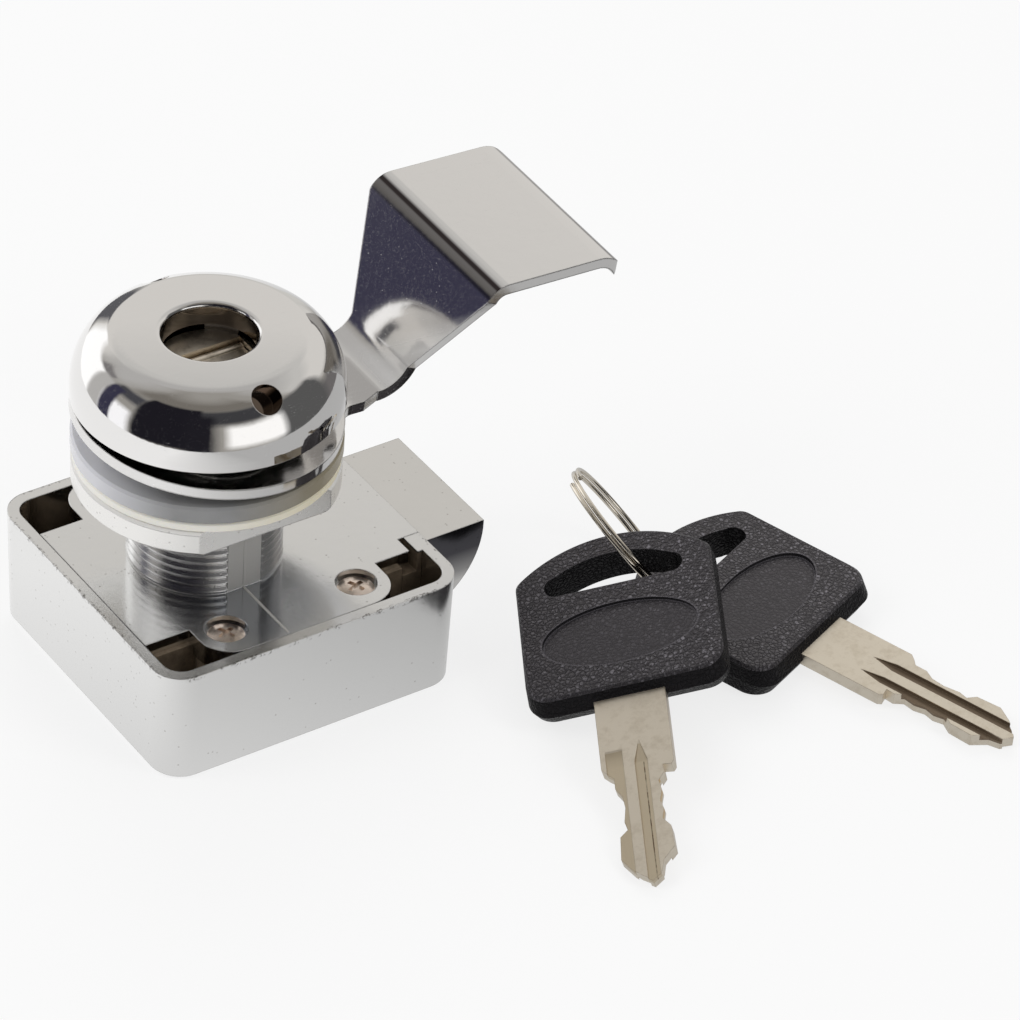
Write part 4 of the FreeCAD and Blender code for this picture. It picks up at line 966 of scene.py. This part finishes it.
# The room that polished metal mirrors: azimuth, elevation, half width, half height and softness of each card in
# degrees, and the colour seen there. Later cards hang in front of earlier ones
CARDS = (
    (225, 62, 75, 14, 16, (0.20, 0.185, 0.165)),
    (55, 60, 84, 24, 24, (0.50, 0.49, 0.48)),
    (10, -6, 36, 14, 8, (0.17, 0.16, 0.16)),
    (37, 40, 70, 14, 12, (0.62, 0.61, 0.59)),
    (37, 27, 66, 13, 8, (0.75, 0.73, 0.70)),
    (58, 10, 40, 12, 10, (0.75, 0.73, 0.70)),
    (54, -4, 14, 17, 8, (0.66, 0.65, 0.62)),
    (76, 6, 8, 15, 4, (0.12, 0.12, 0.13)),
    (123, 34, 10, 7, 4, (0.23, 0.22, 0.22)),
    (160, 35, 17, 9, 7, (0.07, 0.07, 0.08)),
    (262, 38, 36, 13, 8, (0.055, 0.055, 0.06)),
    (323, 8, 26, 31, 8, (0.11, 0.11, 0.11)),
    (204, 20, 28, 34, 5, (0.014, 0.013, 0.018)),
    (232, 10, 12, 30, 9, (0.016, 0.015, 0.020)),
    (108, -5, 20, 34, 5, (1.26, 1.26, 1.26)),
    (136, -2, 9, 34, 6, (0.52, 0.51, 0.50)),
    (158, -1, 15, 15, 6, (1.15, 1.15, 1.18)),
    (149, 11, 6.5, 24, 3, (0.045, 0.043, 0.075)),
    (278, 6, 24, 16, 8, (1.20, 1.19, 1.18)),
)
CARD_SIZES = ("Azimuth", "Elevation", "Half width", "Half height", "Soft")

# Name, place, size and power of each soft lamp, and the point that all of them face
LAMPS = (
    ("soft_left", (-0.55, 0.10, 0.55), 0.45, 1.8),
    ("soft_right", (0.35, -0.60, 0.60), 0.30, 1.3),
    ("soft_back", (0.35, 0.60, 0.60), 0.50, 1.9),
)
LAMP_AIM = Vector((0.01, -0.01, 0.0))

# How much of its plain white the floor shows the camera, and how its mirrored brightness runs along X and Y
FLOOR_WHITE = 0.78
GLOW_SLOPE = (-4.6, 3.6, 0.0)
GLOW_LEAST = 0.5


class SLAMLOCK_OT_studio(bpy.types.Operator):
    """Set the floor, the soft lamps, the white surroundings and the camera"""
    bl_idname = "slamlock.studio"
    bl_label = "Studio"

    def execute(self, context):
        settings = context.scene.slamlock_studio
        table = (tuple(settings.table_middle), settings.table_reach)
        self.lay_floor("pale_floor", (table,), True, settings)
        self.lay_floor("far_floor", (table, ((0.0, 0.0), settings.floor_reach)), False, settings)
        self.hang_tent(settings)
        self.light(context.scene, settings)
        self.aim(context.scene, settings)
        return {"FINISHED"}

    def lay_floor(self, name, sides, mirrored, settings):
        """A round pale floor, or the ring of it beyond the table, which metal doesn't mirror."""
        bm = bmesh.new()
        rings = []
        for middle, radius in sides:
            made = bmesh.ops.create_circle(bm, cap_ends=len(sides) == 1, segments=96, radius=radius)["verts"]
            bmesh.ops.translate(bm, verts=made, vec=(*middle, FLOOR_Z))
            rings += list({edge for vert in made for edge in vert.link_edges})
        if len(sides) > 1:
            bmesh.ops.bridge_loops(bm, edges=rings)
        bmesh.ops.recalc_face_normals(bm, faces=bm.faces[:])
        if bm.faces[:][0].normal.z < 0:
            bmesh.ops.reverse_faces(bm, faces=bm.faces[:])
        floor = filled(name, bm, bpy.data.materials.get("pale_floor") or self.floor_finish(settings))
        floor.visible_glossy = mirrored

    def floor_finish(self, settings):
        """White to the camera with soft shadows; in mirrors it is even, and a little darker on the keys' side."""
        material = bpy.data.materials.new("pale_floor")
        material.use_nodes = True
        tree = material.node_tree
        shader = tree.nodes["Principled BSDF"]
        shader.inputs["Base Color"].default_value = (*settings.floor_colour, 1.0)
        shader.inputs["Roughness"].default_value = 0.9
        shader.inputs["Specular IOR Level"].default_value = 0.1
        rays = put(tree, "LightPath").outputs
        white = put(tree, "Emission", {"Color": (1, 1, 1, 1), "Strength": 1.0}).outputs[0]
        share = maths(tree, "MULTIPLY", rays["Is Camera Ray"], FLOOR_WHITE)
        seen = put(tree, "MixShader", {0: share, 1: shader.outputs[0], 2: white}).outputs[0]
        slope = vectors(tree, "DOT_PRODUCT", put(tree, "TexCoord").outputs["Object"], GLOW_SLOPE)
        level = maths(tree, "ADD", slope, settings.table_glow, clamp=True)
        strength = maths(tree, "MAXIMUM", level, GLOW_LEAST)
        glow = put(tree, "Emission", {"Color": (1, 1, 1, 1), "Strength": strength}).outputs[0]
        mixed = put(tree, "MixShader", {0: rays["Is Glossy Ray"], 1: seen, 2: glow}).outputs[0]
        tree.links.new(mixed, tree.nodes["Material Output"].inputs["Surface"])
        material.cycles.emission_sampling = "NONE"
        return material

    def hang_tent(self, settings):
        """The room that polished metal mirrors: a pale backdrop with bright and dark cards."""
        material = bpy.data.materials.new("reflection_tent")
        material.use_nodes = True
        tree = material.node_tree
        tree.nodes.clear()
        place = put(tree, "TexCoord").outputs["Object"]
        colour = tuple(settings.tent_colour)
        for *angles, shade in CARDS:
            sizes = {label: math.radians(angle) for label, angle in zip(CARD_SIZES, angles)}
            card = put(tree, "Group", {"Place": place, **sizes}, node_tree=shared("studio_card"))
            colour = blend_colours(tree, card.outputs[0], colour, shade)
        glow = put(tree, "Emission", {"Color": colour, "Strength": 1.0})
        put(tree, "OutputMaterial", {"Surface": glow.outputs[0]})
        material.cycles.emission_sampling = "NONE"
        bm = bmesh.new()
        bmesh.ops.create_uvsphere(bm, u_segments=48, v_segments=24, radius=settings.tent_radius)
        bmesh.ops.reverse_faces(bm, faces=bm.faces[:])
        tent = filled("reflection_tent", bm, material)
        for rays in ("camera", "diffuse", "transmission", "volume_scatter", "shadow"):
            setattr(tent, "visible_" + rays, False)

    def light(self, scene, settings):
        """A white world to the camera and in mirrors, softer as a light, and the soft lamps."""
        world = bpy.data.worlds.new("white_studio")
        scene.world = world
        world.use_nodes = True
        tree = world.node_tree
        tree.nodes.clear()
        rays = put(tree, "LightPath").outputs
        mirrored = maths(tree, "MAXIMUM", rays["Is Glossy Ray"], rays["Is Transmission Ray"])
        seen = maths(tree, "MAXIMUM", rays["Is Camera Ray"], mirrored)
        strength = maths(tree, "MULTIPLY_ADD", seen, 1.0 - settings.ambient, settings.ambient)
        sky = put(tree, "Background", {"Color": (1, 1, 1, 1), "Strength": strength})
        put(tree, "OutputWorld", {"Surface": sky.outputs[0]})
        for name, place, size, power in LAMPS:
            lamp = bpy.data.lights.new(name, "AREA")
            lamp.shape = "SQUARE"
            lamp.size = size
            lamp.energy = power * settings.lamp_level
            lit = bpy.data.objects.new(name, lamp)
            lit.location = place
            lit.visible_glossy = False
            lit.rotation_euler = (LAMP_AIM - Vector(place)).to_track_quat("-Z", "Y").to_euler()
            scene.collection.objects.link(lit)

    def aim(self, scene, settings):
        """The camera, placed round the lock by its angles, as in the photograph."""
        a, e, roll = settings.camera_azimuth, settings.camera_elevation, settings.camera_roll
        back = Vector((math.sin(a) * math.cos(e), -math.cos(a) * math.cos(e), math.sin(e)))
        right = Vector((math.cos(a), math.sin(a), 0))
        up = back.cross(right)
        turned_right = right * math.cos(roll) + up * math.sin(roll)
        turned_up = up * math.cos(roll) - right * math.sin(roll)
        lens = bpy.data.cameras.new("photo_camera")
        lens.sensor_width = 36.0
        lens.lens = settings.camera_lens
        lens.clip_start = 0.01
        camera = bpy.data.objects.new("photo_camera", lens)
        turn = Matrix((turned_right, turned_up, back)).transposed().to_4x4()
        shift = settings.camera_offset
        centre = back * settings.camera_distance - turned_right * shift[0] - turned_up * shift[1]
        camera.matrix_world = Matrix.Translation(centre) @ turn
        scene.collection.objects.link(camera)
        scene.camera = camera
        scene.view_settings.view_transform = "Standard"


class SLAMLOCK_PT_panel(bpy.types.Panel):
    """Lists the lock's pieces and settings"""
    bl_idname = "SLAMLOCK_PT_panel"
    bl_label = "Slam lock"
    bl_space_type = "VIEW_3D"
    bl_region_type = "UI"
    bl_category = "Slam lock"

    def draw(self, context):
        layout = self.layout
        for made in OPERATORS:
            layout.operator(made.bl_idname)
        for group in (context.scene.slamlock_finish, context.scene.slamlock_detail, context.scene.slamlock_studio):
            box = layout.box()
            for name in group.bl_rna.properties.keys():
                if name not in ("rna_type", "name"):
                    box.prop(group, name)


OPERATORS = (
    SLAMLOCK_OT_castings, SLAMLOCK_OT_seam, SLAMLOCK_OT_chrome, SLAMLOCK_OT_washers, SLAMLOCK_OT_plug,
    SLAMLOCK_OT_springs, SLAMLOCK_OT_keys, SLAMLOCK_OT_studio,
)
CLASSES = (SlamLockFinish, SlamLockDetail, SlamLockStudio) + OPERATORS + (SLAMLOCK_PT_panel,)


def register():
    for made in CLASSES:
        bpy.utils.register_class(made)
    bpy.types.Scene.slamlock_finish = bpy.props.PointerProperty(type=SlamLockFinish)
    bpy.types.Scene.slamlock_detail = bpy.props.PointerProperty(type=SlamLockDetail)
    bpy.types.Scene.slamlock_studio = bpy.props.PointerProperty(type=SlamLockStudio)


def unregister():
    del bpy.types.Scene.slamlock_studio
    del bpy.types.Scene.slamlock_detail
    del bpy.types.Scene.slamlock_finish
    for made in reversed(CLASSES):
        bpy.utils.unregister_class(made)


def main():
    register()
    bpy.ops.slamlock.castings()
    bpy.ops.slamlock.seam()
    bpy.ops.slamlock.chrome()
    bpy.ops.slamlock.washers()
    bpy.ops.slamlock.plug()
    bpy.ops.slamlock.springs()
    bpy.ops.slamlock.keys()
    bpy.ops.slamlock.studio()


if __name__ == "__main__":
    main()
